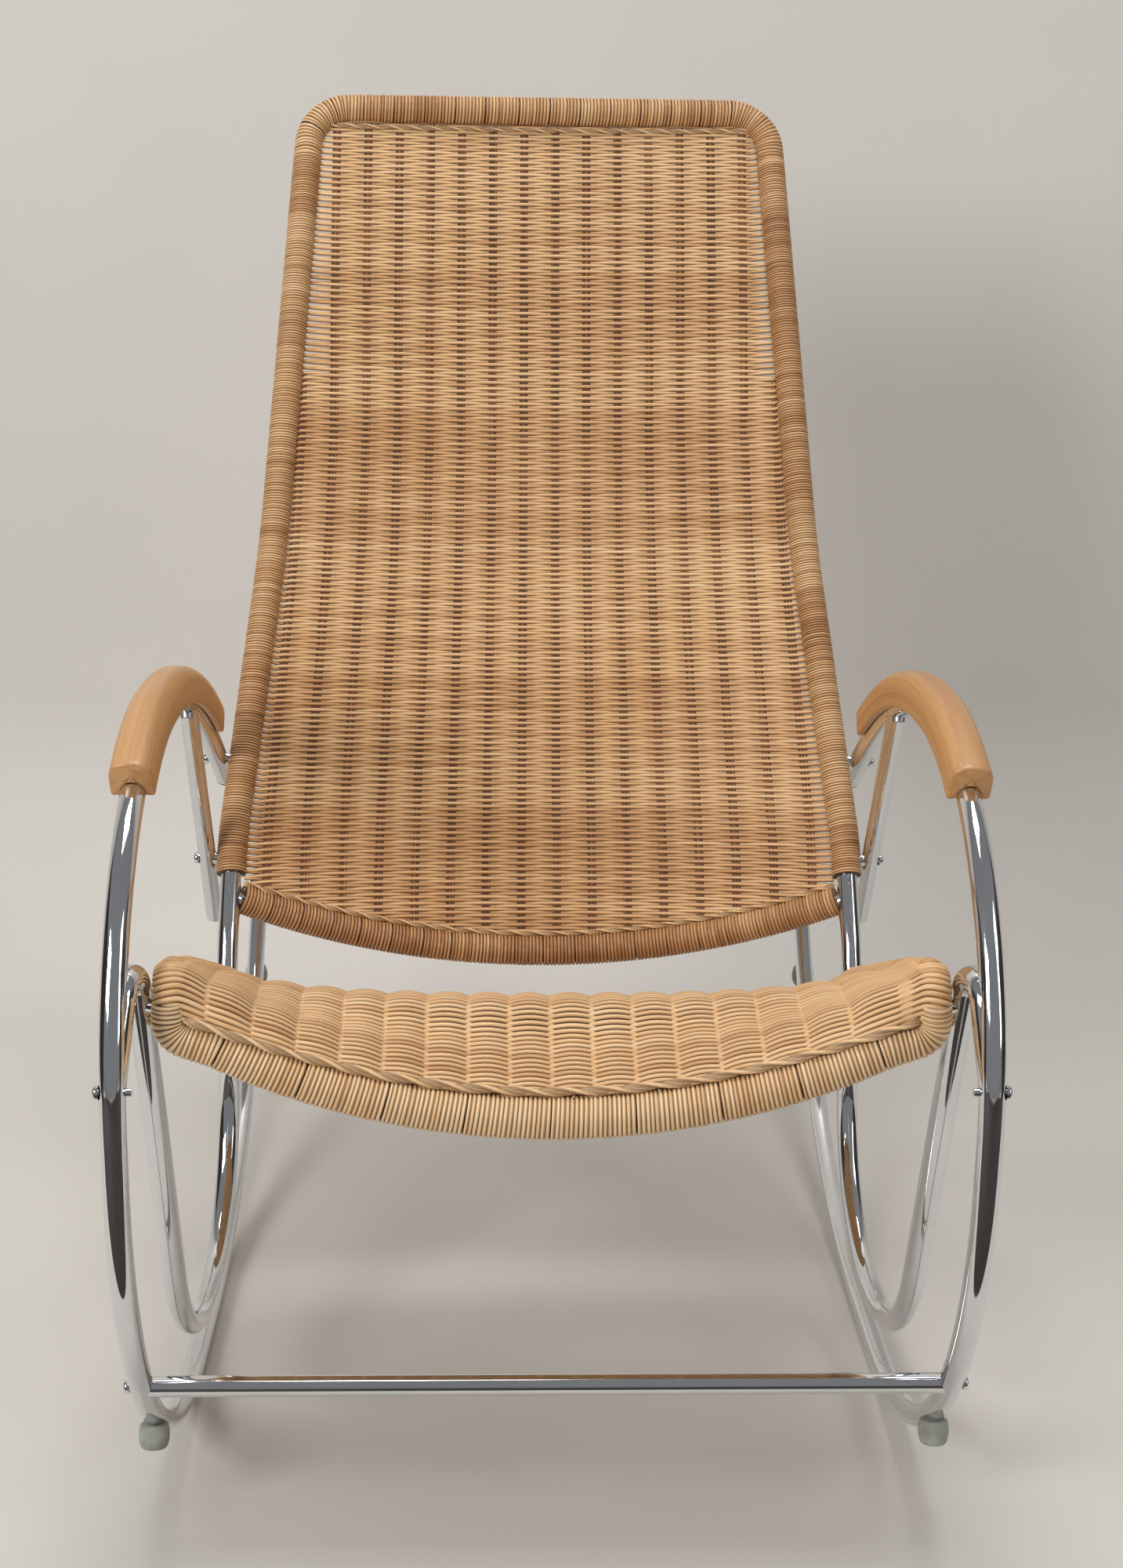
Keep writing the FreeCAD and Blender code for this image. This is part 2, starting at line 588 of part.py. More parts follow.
# Woven seat, from behind the front roll over the crest and down to the rear rail
front_lean = math.radians(SEAT_FRONT_LEAN)
front_mid = point_at(corner_arc(ring_low, ring_mid, flipped(ring_low), SEAT_FRONT_RADIUS), 0.5)
seat_front = front_mid + leaning(front_lean / -2) * (FRONT_ROLL_R + SOFT_GAP)
seat_crest = at_x(0, SEAT_CREST_MID)
seat_rear = at_x(0, SEAT_REAR_MID) - Vector(0, seat_run.y, seat_run.z) * (ROLL_R + SOFT_GAP)
crest_edge = ring_top + seat_run * SEAT_CREST_BACK
seat_edges = [ring_low + Vector(0, FRONT_ROLL_R, RING_LOW_RADIUS), ring_top + seat_run * SEAT_TURN_BACK]
seat_edges += [along(crest_edge, seat_wrap_end, share) for share in SEAT_SHARES]
seat_mids = [seat_front, along(seat_front, seat_crest, 0.5)]
seat_mids += [along(seat_crest, seat_rear, share) for share in SEAT_SHARES]
edge_row = smooth_points(seat_edges, SEAT_SPAN_STEPS)
mid_row = smooth_points(seat_mids, SEAT_SPAN_STEPS)
seat_stations = []
for index, edge in enumerate(edge_row):
    last = min(index + 1, len(edge_row) - 1)
    first = max(index - 1, 0)
    run = edge_row[last] - edge_row[first] + mid_row[last] - mid_row[first]
    seat_stations.append((edge + inset, mid_row[index], Vector(0, -run.z, run.y).normalize()))
seat_weave = woven(seat_stations).cut(rod(front_wrap_wire, FRONT_ROLL_R + SOFT_GAP))


def both(*shapes):
    """The left pieces of a group with their mirrored twins."""
    return list(shapes) + [mirrored(shape) for shape in shapes]


nodes = {
    "left_rocker_tube": [side_tube],
    "right_rocker_tube": [mirrored(side_tube)],
    "back_hoop": [back_hoop],
    "left_loop": [loop_tube],
    "right_loop": [mirrored(loop_tube)],
    "seat_ring": [seat_ring],
    "seat_lugs": both(seat_lug),
    "hoop_spigots": both(spigot),
    "back_lower_rail": [back_lower_rail],
    "seat_rear_rail": [seat_rear_rail],
    "left_arm_strut": [arm_strut],
    "right_arm_strut": [mirrored(arm_strut)],
    "front_crossbar": [front_crossbar],
    "rear_crossbar": [rear_crossbar],
    "crossbar_inserts": both(*inserts),
    "crossbar_bolts": both(*bar_bolts),
    "strut_bolts": both(strut_bolt),
    "arm_joint_bolts": both(arm_bolt),
    "arch_bolts": both(arch_bolt),
    "frame_spacers": both(strut_spacer, arm_spacer),
    "left_armrest": [armrest],
    "right_armrest": [mirrored(armrest)],
    "armrest_screws": both(*pad_screws),
    "left_front_stop": [front_stop],
    "right_front_stop": [mirrored(front_stop)],
    "left_rear_stop": [rear_stop],
    "right_rear_stop": [mirrored(rear_stop)],
    "stop_screws": both(front_screw, rear_screw),
    "runner_end_caps": both(runner_cap),
    "arm_end_caps": both(arm_cap),
    "back_weave": [back_weave],
    "seat_weave": [seat_weave],
    "back_left_wrap": [back_side_wrap],
    "back_right_wrap": [mirrored(back_side_wrap)],
    "back_top_wrap": [back_top_wrap],
    "back_lower_wrap": [back_lower_wrap],
    "seat_front_wrap": [seat_front_wrap],
    "seat_left_wrap": [seat_side_wrap],
    "seat_right_wrap": [mirrored(seat_side_wrap)],
    "seat_rear_wrap": [seat_rear_wrap],
}

# The chair's box is centred on the origin, front to back
rear_y = runner_cap.optimalBoundingBox().YMax
to_origin = Vector(0, (TUBE_R - rear_y) / 2, 0)
os.makedirs("parts", exist_ok=True)
for name, shapes in nodes.items():
    solids = [solid.translated(to_origin) for shape in shapes for solid in shape.Solids]
    shape = solids[0] if len(solids) == 1 else Part.makeCompound(solids)
    shape.exportStep("parts/" + name + ".step")
    print(name, len(solids), shape.isValid(), round(shape.Volume))
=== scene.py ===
"""Looks of a rocking chair in chromed tube with a woven rattan seat and back.

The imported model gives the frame. The rattan is made here strand by strand: rails are wound, the seat
and the back are woven over stakes. Lengths are metres, +Z is up, the sitter faces -Y, left is -X.
Side shapes are written as (y, z) from the front of the side tube, and moved to the frame at once.
"""
from __future__ import annotations

import logging
import math
from dataclasses import dataclass
from enum import Enum

import bpy
import numpy as np
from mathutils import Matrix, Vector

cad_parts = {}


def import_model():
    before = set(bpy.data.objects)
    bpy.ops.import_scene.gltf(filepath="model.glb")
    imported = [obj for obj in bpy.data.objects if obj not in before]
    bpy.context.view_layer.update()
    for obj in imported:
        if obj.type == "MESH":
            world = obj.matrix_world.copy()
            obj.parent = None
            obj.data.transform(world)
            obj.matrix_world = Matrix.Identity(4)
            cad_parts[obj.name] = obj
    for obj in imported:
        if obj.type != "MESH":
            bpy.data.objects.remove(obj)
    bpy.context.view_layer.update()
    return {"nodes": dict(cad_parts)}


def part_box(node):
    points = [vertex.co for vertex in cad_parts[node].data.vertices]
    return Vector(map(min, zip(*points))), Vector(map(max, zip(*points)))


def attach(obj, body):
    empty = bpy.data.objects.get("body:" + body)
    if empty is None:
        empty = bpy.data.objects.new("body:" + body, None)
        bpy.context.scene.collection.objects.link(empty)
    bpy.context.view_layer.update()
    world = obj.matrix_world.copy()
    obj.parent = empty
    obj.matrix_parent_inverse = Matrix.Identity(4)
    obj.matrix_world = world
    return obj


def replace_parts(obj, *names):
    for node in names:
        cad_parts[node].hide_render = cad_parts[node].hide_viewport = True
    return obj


LOG = logging.getLogger("rocking_chair")
SEED = 1974
MM = 0.001
TURN = 2.0 * math.pi
TUBE_RADIUS = 9.5 * MM
ROLL_RADIUS = 14.0 * MM
CLEARANCE = 0.6 * MM  # between a roll and what stands beside it
ACROSS = np.array([1.0, 0.0, 0.0])
NO_X = np.array([0.0, 1.0, 1.0])  # what a point is multiplied by to bring it to the chair's middle
ROPE_LEAD = np.array([0.0, 0.4, 0.9])
ROPE_NEST = 0.85  # how far a rope's two strands lie off its line, in their radii
# painted shade on the rope strands' edges, where the two strands meet
ROPE_EDGE_SHADE = 0.85  # how dark their edges are
# Each stop's end, the centre and radius of the runner's arc there, the place on that arc and the lean.
STOPS = (("front", (340.0, 349.5), 0.340, 41.0, 15.0), ("rear", (448.0, 609.5), 0.600, -46.0, -20.0))


class Slot(Enum):
    """Material slots."""

    CHROME = "chrome"
    STEEL = "steel"
    RATTAN = "rattan"
    BEECH = "beech"
    RUBBER = "rubber"
    PLASTIC = "plastic"


class Side(Enum):
    """The two sides of the chair, as seen from the front."""

    LEFT = -1.0
    RIGHT = 1.0

    @property
    def label(self) -> str:
        """The side's name in node and piece names."""
        return self.name.lower()

    def carry(self, line: Line) -> Line:
        """A line of the left side as it runs on this side."""
        return line if self is Side.LEFT else Line(mirrored(line.points))


# ---------------------------------------------------------------- curves


def unit(vectors: np.ndarray) -> np.ndarray:
    """Vectors scaled to length one along their last axis."""
    return vectors / np.linalg.norm(vectors, axis=-1, keepdims=True)


def points_at(places: np.ndarray, stops: np.ndarray, points: np.ndarray) -> np.ndarray:
    """Points at places between stops, each stop having its own point, by straight lines."""
    return np.stack([np.interp(places, stops, points[:, i]) for i in range(3)], axis=-1)


def circle(count: int) -> np.ndarray:
    """Even angles round a whole turn."""
    return np.arange(count) * (TURN / count)


def spokes(angle: np.ndarray, first: np.ndarray, second: np.ndarray) -> np.ndarray:
    """Directions at angles in the plane of two others, cos(a) * first + sin(a) * second."""
    return np.cos(angle)[..., None] * first + np.sin(angle)[..., None] * second


def stacked(*values: np.ndarray | float) -> np.ndarray:
    """Values spread to one shape and set side by side on a new last axis."""
    return np.stack(np.broadcast_arrays(*values), axis=-1)


def mirrored(points: np.ndarray) -> np.ndarray:
    """Points moved to the chair's other side, x for -x."""
    return points * np.array([-1.0, 1.0, 1.0])


def corner_arc(before: np.ndarray, corner: np.ndarray, after: np.ndarray, radius: float) -> np.ndarray:
    """Points of the arc of a radius that is tangent to both runs at a corner.

    Args:
        before: The point that the first run comes from.
        corner: The point where the runs would meet.
        after: The point that the second run goes to.
        radius: The bend's radius.

    Returns:
        Points along the arc, in order.
    """
    back = unit(before - corner)
    onward = unit(after - corner)
    half = 0.5 * math.acos(float(np.clip(back @ onward, -1.0, 1.0)))
    start = corner + back * (radius / math.tan(half))
    centre = corner + unit(back + onward) * (radius / math.sin(half))
    return centre + radius * spokes(np.linspace(0.0, math.pi - 2.0 * half, 40), unit(start - centre), -back)


@dataclass
class Line:
    """A curve through close points, read by its length.

    Attributes:
        points: Points along the curve.
    """

    points: np.ndarray

    def __post_init__(self) -> None:
        """Works out the length along the curve at each point."""
        steps = np.linalg.norm(np.diff(self.points, axis=0), axis=1)
        keep = np.concatenate([[True], steps > 1e-7])
        self.points = self.points[keep]
        steps = np.linalg.norm(np.diff(self.points, axis=0), axis=1)
        self.lengths = np.concatenate([[0.0], np.cumsum(steps)])

    @property
    def length(self) -> float:
        """The curve's whole length."""
        return float(self.lengths[-1])

    def at(self, lengths: np.ndarray) -> np.ndarray:
        """Points at lengths from the start, with one more axis, of three."""
        return points_at(lengths, self.lengths, self.points)

    def frames(self, lengths: np.ndarray, lead: np.ndarray) -> tuple[np.ndarray, np.ndarray, np.ndarray]:
        """Directions at lengths along the curve, turned so that the first normal keeps to a lead.

        Args:
            lengths: Lengths from the start.
            lead: The direction that the first normal leans to.

        Returns:
            The heading and two normals, each an array of unit vectors.
        """
        reach = self.length * 0.004
        ahead = self.at(np.minimum(lengths + reach, self.length))
        behind = self.at(np.maximum(lengths - reach, 0.0))
        heading = unit(ahead - behind)
        first = unit(lead - heading * (heading @ lead)[..., None])
        return heading, first, np.cross(heading, first)

    def between(self, start: float, end: float) -> "Line":
        """The stretch of the curve between two lengths."""
        return Line(self.at(np.linspace(start, end, 240)))


def bent_line(points: list[np.ndarray], radii: list[float] | tuple) -> Line:
    """A bent rail's centre line: straight runs through points, with a tangent arc at each inner one."""
    arcs = [corner_arc(*points[i:i + 3], radius) for i, radius in enumerate(radii)]
    return Line(np.concatenate([points[:1], *arcs, points[-1:]]))


def three_point_arc(start: np.ndarray, middle: np.ndarray, end: np.ndarray) -> Line:
    """The circle's arc through three points.

    With chords a and b from the start and n = a x b, the centre lies off the start by
    ((n x a) (b . b) - (n x b) (a . a)) / (2 n . n).

    Args:
        start: The arc's first point.
        middle: A point on the way.
        end: Its last point.

    Returns:
        The arc as a line.
    """
    chord_a = middle - start
    chord_b = end - start
    axis = np.cross(chord_a, chord_b)
    to_centre = np.cross(axis, chord_a) * (chord_b @ chord_b) - np.cross(axis, chord_b) * (chord_a @ chord_a)
    centre = start + to_centre / (2.0 * (axis @ axis))
    radius = float(np.linalg.norm(start - centre))
    first = unit(start - centre)
    second = unit(np.cross(axis, first))
    last = end - centre
    sweep = math.atan2(float(last @ second), float(last @ first)) % TURN
    return Line(centre + radius * spokes(np.linspace(0.0, sweep, 160), first, second))


def smooth_line(points: np.ndarray, count: int) -> np.ndarray:
    """Points on the curve that passes smoothly through given points.

    Between two points it is the cubic whose slopes are half the chord of their neighbours.

    Args:
        points: The points that the curve passes through.
        count: How many points to return.

    Returns:
        Points evenly spaced by the given points' numbering.
    """
    padded = np.concatenate([2 * points[:1] - points[1:2], points, 2 * points[-1:] - points[-2:-1]])
    slopes = 0.5 * (padded[2:] - padded[:-2])
    place = np.linspace(0.0, len(points) - 1.0, count)
    index = np.minimum(place.astype(int), len(points) - 2)
    share = (place - index)[:, None]
    square, cube = share ** 2, share ** 3
    return ((2 * cube - 3 * square + 1) * points[index] + (cube - 2 * square + share) * slopes[index]
            + (3 * square - 2 * cube) * points[index + 1] + (cube - square) * slopes[index + 1])


# ---------------------------------------------------------------- meshes


def placed(name: str, data: bpy.types.ID) -> bpy.types.Object:
    """A new object of some data, linked to the scene.

    Args:
        name: The object's name.
        data: Its mesh, light or camera data.

    Returns:
        The object.
    """
    thing = bpy.data.objects.new(name, data)
    bpy.context.scene.collection.objects.link(thing)
    return thing


@dataclass
class Skin:
    """A surface as arrays: vertices, quads, triangles and each vertex's lie on its strand.

    Attributes:
        vertices: Places of the vertices.
        quads: Four vertex numbers a face.
        triangles: Three vertex numbers a face.
        lie: For each vertex the length along its strand, its place across it, and the strand's tone.
    """

    vertices: np.ndarray
    quads: np.ndarray
    triangles: np.ndarray
    lie: np.ndarray

    def joined(self, other: "Skin") -> "Skin":
        """This surface and another in one.

        Args:
            other: The surface to add.

        Returns:
            The joined surface.
        """
        shift = len(self.vertices)
        return Skin(np.concatenate([self.vertices, other.vertices]),
                    np.concatenate([self.quads, other.quads + shift]),
                    np.concatenate([self.triangles, other.triangles + shift]),
                    np.concatenate([self.lie, other.lie]))

    def to_piece(self, name: str, material: bpy.types.Material, slot: Slot,
                 crease: float = math.pi) -> bpy.types.Object:
        """Makes the surface a piece that rides on the chair.

        Args:
            name: The piece's name.
            material: Its finish.
            slot: The slot that the finish belongs to; not used.
            crease: The angle between faces past which their edge is shaded sharp.

        Returns:
            The new object, linked to the scene.
        """
        mesh = bpy.data.meshes.new(name)
        mesh.vertices.add(len(self.vertices))
        mesh.vertices.foreach_set("co", self.vertices.astype(np.float32).ravel())
        corners = np.concatenate([self.quads.ravel(), self.triangles.ravel()]).astype(np.int32)
        mesh.loops.add(len(corners))
        mesh.loops.foreach_set("vertex_index", corners)
        fours, threes = len(self.quads), len(self.triangles)
        starts = np.concatenate([np.arange(fours) * 4, fours * 4 + np.arange(threes) * 3])
        mesh.polygons.add(fours + threes)
        mesh.polygons.foreach_set("loop_start", starts.astype(np.int32))
        mesh.polygons.foreach_set("use_smooth", np.ones(fours + threes, dtype=bool))
        layer = mesh.attributes.new("lie", "FLOAT_VECTOR", "POINT")
        layer.data.foreach_set("vector", self.lie.astype(np.float32).ravel())
        mesh.update(calc_edges=True)
        mesh.validate()
        mesh.set_sharp_from_angle(angle=crease)
        mesh.materials.append(material)
        piece = placed(name, mesh)
        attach(piece, "root")
        LOG.info("%s: %d faces", name, fours + threes)
        return piece


def tubes(centres: np.ndarray, wide: np.ndarray, deep: np.ndarray, tones: np.ndarray, sides: int = 6,
          edge: np.ndarray | float = 1.0) -> Skin:
    """Many closed tubes at once, an oval section carried along each row of centres.

    A vertex is centre + cos(a) * wide + sin(a) * deep, and each end is closed by a fan on its centre.

    Args:
        centres: Centre points, by tube and by place along it.
        wide: Half the section's width as a vector, at each centre.
        deep: Half the section's depth as a vector, at each centre.
        tones: One tone a tube.
        sides: How many sides the section has.
        edge: How strongly a strand's edges take the painted gap shade, at each centre.

    Returns:
        The tubes' surface.
    """
    rows, count = centres.shape[:2]
    angle = circle(sides)
    rings = centres[:, :, None] + spokes(angle, wide[:, :, None], deep[:, :, None])
    steps = np.linalg.norm(np.diff(centres, axis=1), axis=2)
    along = np.concatenate([np.zeros((rows, 1)), np.cumsum(steps, axis=1)], axis=1)
    # across, scaled by edge, is where the material paints shade at a strand's edges
    across = np.cos(angle) * np.broadcast_to(edge, (rows, count))[..., None]
    lie = stacked(along[:, :, None], across, tones[:, None, None])
    return swept(rings, lie, np.concatenate([centres[:, 0], centres[:, -1]]))


def swept(rings: np.ndarray, lie: np.ndarray, hubs: np.ndarray) -> Skin:
    """Closed outlines carried along paths, each end closed by a fan on its middle point.

    Args:
        rings: The outlines' points, by path, by place along it and by place round the outline.
        lie: The lie of each of those points.
        hubs: The middle points of the paths' first ends, then those of their last ends.

    Returns:
        The closed surface, its faces outward.
    """
    rows, count, sides = rings.shape[:3]
    numbers = np.arange(rows * count * sides).reshape(rows, count, sides)
    turned = np.roll(numbers, -1, axis=2)
    quads = np.stack([numbers[:, :-1], turned[:, :-1], turned[:, 1:], numbers[:, 1:]], axis=-1).reshape(-1, 4)
    hub = np.broadcast_to(numbers.size + np.arange(rows)[:, None], (rows, sides))
    triangles = np.concatenate([np.stack([hub, turned[:, 0], numbers[:, 0]], axis=-1),
                                np.stack([hub + rows, numbers[:, -1], turned[:, -1]], axis=-1)]).reshape(-1, 3)
    vertices = np.concatenate([rings.reshape(-1, 3), hubs])
    corner = vertices[quads[0]]
    normal = np.cross(corner[1] - corner[0], corner[3] - corner[0])
    if normal @ (corner.mean(axis=0) - rings[0, :2].mean(axis=(0, 1))) < 0.0:
        quads, triangles = quads[:, ::-1], triangles[:, ::-1]
    hub_lie = np.concatenate([lie[:, 0].mean(axis=1), lie[:, -1].mean(axis=1)])
    return Skin(vertices, quads, triangles, np.concatenate([lie.reshape(-1, 3), hub_lie]))


# ---------------------------------------------------------------- shader expressions


class Wire:
    """A shader socket that expressions can be written with."""

    def __init__(self, graph: "Graph", socket: bpy.types.NodeSocket) -> None:
        """Keeps the socket and the graph that it belongs to."""
        self.graph = graph
        self.socket = socket

    def _math(self, operation: str, *values: "Wire | float") -> "Wire":
        """Adds one Math node."""
        node = self.graph.node("ShaderNodeMath", {"operation": operation}, dict(enumerate(values)))
        return self.graph.out(node, 0)

    def __add__(self, other: "Wire | float") -> "Wire":
        """This value plus another."""
        return self._math("ADD", self, other)

    __radd__ = __add__

    def __sub__(self, other: "Wire | float") -> "Wire":
        """This value less another."""
        return self._math("SUBTRACT", self, other)

    def __mul__(self, other: "Wire | float") -> "Wire":
        """This value times another."""
        return self._math("MULTIPLY", self, other)

    def power(self, exponent: float) -> "Wire":
        """This value to a power."""
        return self._math("POWER", self, exponent)

    def absolute(self) -> "Wire":
        """This value without its sign."""
        return self._math("ABSOLUTE", self)

    def clamped(self) -> "Wire":
        """This value held between nought and one."""
        node = self.graph.node("ShaderNodeClamp", {}, {0: self})
        return self.graph.out(node, 0)


class Graph:
    """A material's node tree, built from expressions."""

    def __init__(self, name: str) -> None:
        """Starts a material with a principled shader.

        Args:
            name: The material's name.
        """
        self.material = bpy.data.materials.new(name)
        self.material.use_nodes = True
        self.tree = self.material.node_tree
        self.shader = self.tree.nodes["Principled BSDF"]

    def node(self, kind: str, settings: dict, inputs: dict) -> bpy.types.Node:
        """Adds a node.

        Args:
            kind: The node's type.
            settings: Its own settings, set first.
            inputs: Values or wires for its sockets, by name or number.

        Returns:
            The new node.
        """
        node = self.tree.nodes.new(kind)
        for key, value in settings.items():
            setattr(node, key, value)
        for key, value in inputs.items():
            self.put(node.inputs[key], value)
        return node

    def put(self, socket: bpy.types.NodeSocket, value: object) -> None:
        """Links a wire to a socket, or sets the socket's own value.

        Args:
            socket: The input.
            value: A wire, or a value of the socket's kind.
        """
        if isinstance(value, Wire):
            self.tree.links.new(value.socket, socket)
        else:
            socket.default_value = value

    def out(self, node: bpy.types.Node, key: int | str) -> Wire:
        """An output of a node as a wire."""
        return Wire(self, node.outputs[key])

    def object_place(self) -> Wire:
        """The object's own coordinates."""
        return self.out(self.node("ShaderNodeTexCoord", {}, {}), "Object")

    def strand_lie(self) -> tuple[Wire, Wire, Wire]:
        """The length along the strand, the place across it from -1 to 1, and its tone.

        Returns:
            Three wires.
        """
        lie = self.out(self.node("ShaderNodeAttribute", {"attribute_name": "lie"}, {}), "Vector")
        parts = self.node("ShaderNodeSeparateXYZ", {}, {0: lie})
        return self.out(parts, 0), self.out(parts, 1), self.out(parts, 2)

    def vector(self, x: Wire | float, y: Wire | float, z: Wire | float) -> Wire:
        """A vector from three values."""
        return self.out(self.node("ShaderNodeCombineXYZ", {}, {0: x, 1: y, 2: z}), 0)

    def noise(self, place: Wire, scale: float, detail: float) -> Wire:
        """Smooth random values between nought and one."""
        inputs = {"Vector": place, "Scale": scale, "Detail": detail, "Roughness": 0.55}
        return self.out(self.node("ShaderNodeTexNoise", {}, inputs), 0)

    def ramp(self, value: Wire, stops: tuple) -> Wire:
        """A colour for a value.

        Args:
            value: A wire between nought and one.
            stops: Places on that scale, each with its colour as screen values.

        Returns:
            The colour.
        """
        node = self.tree.nodes.new("ShaderNodeValToRGB")
        elements = node.color_ramp.elements
        for place, _ in stops[1:-1]:
            elements.new(place)
        for element, (place, colour) in zip(elements, stops):
            element.position = place
            element.color = linear(*colour)
        self.put(node.inputs[0], value)
        return self.out(node, 0)

    def mixed(self, factor: Wire, first: Wire, second: tuple[int, int, int]) -> Wire:
        """A colour mixed by a factor with one of screen values."""
        node = self.node("ShaderNodeMix", {"data_type": "RGBA"}, {0: factor, 6: first, 7: linear(*second)})
        return self.out(node, 2)

    def bump(self, height: Wire, strength: float, distance: float) -> Wire:
        """A normal that is tilted by a height."""
        inputs = {"Height": height, "Strength": strength, "Distance": distance}
        return self.out(self.node("ShaderNodeBump", {}, inputs), 0)

    def finish(self, **sockets: object) -> bpy.types.Material:
        """Sets the principled shader's sockets.

        Args:
            **sockets: Values or wires by socket name, with _ for a space.

        Returns:
            The material.
        """
        for key, value in sockets.items():
            self.put(self.shader.inputs[key.replace("_", " ")], value)
        return self.material


def linear(red: int, green: int, blue: int) -> tuple[float, ...]:
    """A colour written as screen values from 11 to 255, made linear, with full alpha."""
    return *(((value / 255.0 + 0.055) / 1.055) ** 2.4 for value in (red, green, blue)), 1.0


# ---------------------------------------------------------------- finishes


@dataclass(frozen=True)
class RattanFinish:
    """Peeled rattan core under a thin clear varnish, with painted shade in the gaps where strands meet."""

    name: str = "rattan_strand"
    # colour of the painted shade in the gaps between strands and between turns
    gap_shade: tuple = (56, 28, 12)
    tones: tuple = ((0.0, (96, 56, 28)), (0.06, (150, 98, 54)), (0.3, (198, 146, 95)), (0.56, (230, 185, 132)),
                    (0.9, (249, 217, 173)))

    def material(self) -> bpy.types.Material:
        """Tone by strand, drifting along it, with fine fibre lines down its length and painted shade where strands
        meet.

        Returns:
            The material.
        """
        graph = Graph(self.name)
        along, across, tone = graph.strand_lie()
        drift = graph.noise(graph.vector(along * 9.0, tone * 37.0, 0.0), 1.0, 2.0)
        fibre = graph.noise(graph.vector(along * 60.0, across * 3.5, tone * 91.0), 1.0, 3.0)
        blotch = graph.noise(graph.object_place(), 14.0, 2.0)
        value = tone * 0.52 + drift * 0.42 + (fibre - 0.5) * 0.34 + (blotch - 0.5) * 0.24 + 0.02
        # painted shade: darker towards a strand's edges, where it meets its neighbours
        gap_shade_mask = across.absolute().power(2.0).clamped()
        colour = graph.mixed(gap_shade_mask, graph.ramp(value.clamped(), self.tones), self.gap_shade)
        return graph.finish(Base_Color=colour, Roughness=0.38 + fibre * 0.2, Normal=graph.bump(fibre, 0.25, 0.0004))


@dataclass(frozen=True)
class BeechFinish:
    """Lacquered beech with its short flecks along the grain."""

    name: str = "lacquered_beech"
    tones: tuple = ((0.3, (174, 122, 73)), (0.66, (202, 155, 102)))
    fleck: tuple = (146, 94, 52)

    def material(self) -> bpy.types.Material:
        """Growth bands through the pad's height, fine pores and darker flecks, drawn out along it.

        Returns:
            The material.
        """
        graph = Graph(self.name)
        along, across, rise = graph.strand_lie()
        band = graph.noise(graph.vector(along * 3.0, across * 1.6, rise * 7.0), 1.0, 4.0)
        pore = graph.noise(graph.vector(along * 45.0, across * 34.0, rise * 34.0), 1.0, 2.0)
        dash = graph.noise(graph.vector(along * 110.0, across * 26.0, rise * 26.0), 1.0, 1.0)
        colour = graph.ramp((band * 0.72 + pore * 0.28).clamped(), self.tones)
        colour = graph.mixed(((dash - 0.62) * 5.0).clamped() * 0.55, colour, self.fleck)
        return graph.finish(Base_Color=colour, Roughness=0.36 + pore * 0.16, Coat_Weight=0.2,
                            Normal=graph.bump(pore, 0.12, 0.0003))


@dataclass(frozen=True)
class PlainFinish:
    """A finish whose tone and gloss vary in soft patches, with a fine grain where it is moulded.

    tones are colours by the patches' noise, patches its scale and detail, gloss the roughness at nought,
    its rise and the rise's power, and grain a noise's scale and detail with a bump's strength and depth.
    """

    name: str
    tones: tuple
    patches: tuple
    gloss: tuple
    metallic: float = 0.0
    grain: tuple | None = None

    def material(self) -> bpy.types.Material:
        """Colour and roughness from the patches' noise, and a bump from the grain.

        Returns:
            The material.
        """
        graph = Graph(self.name)
        place = graph.object_place()
        patch = graph.noise(place, *self.patches)
        base, rise, power = self.gloss
        sockets = {}
        if self.grain:
            sockets["Normal"] = graph.bump(graph.noise(place, *self.grain[:2]), *self.grain[2:])
        return graph.finish(Base_Color=graph.ramp(patch, self.tones), Metallic=self.metallic,
                            Roughness=base + patch.power(power) * rise, **sockets)


CHROME = PlainFinish("polished_chrome", ((0.0, (214, 216, 219)), (1.0, (232, 233, 235))), (22.0, 4.0),
                     (0.035, 0.16, 3.0), 1.0)
STEEL = PlainFinish("zinc_steel", ((0.0, (140, 142, 146)), (1.0, (188, 190, 194))), (260.0, 3.0),
                    (0.28, 0.2, 1.0), 1.0)
RUBBER = PlainFinish("grey_rubber", ((0.3, (120, 124, 114)), (0.7, (164, 167, 156))), (60.0, 4.0),
                     (0.55, 0.25, 1.0), grain=(1400.0, 2.0, 0.15, 0.0003))
PLASTIC = PlainFinish("black_plastic", ((0.3, (22, 22, 23)), (0.8, (44, 44, 46))), (900.0, 3.0),
                      (0.38, 0.22, 1.0), grain=(900.0, 3.0, 0.2, 0.0002))


# ---------------------------------------------------------------- the chair's lines


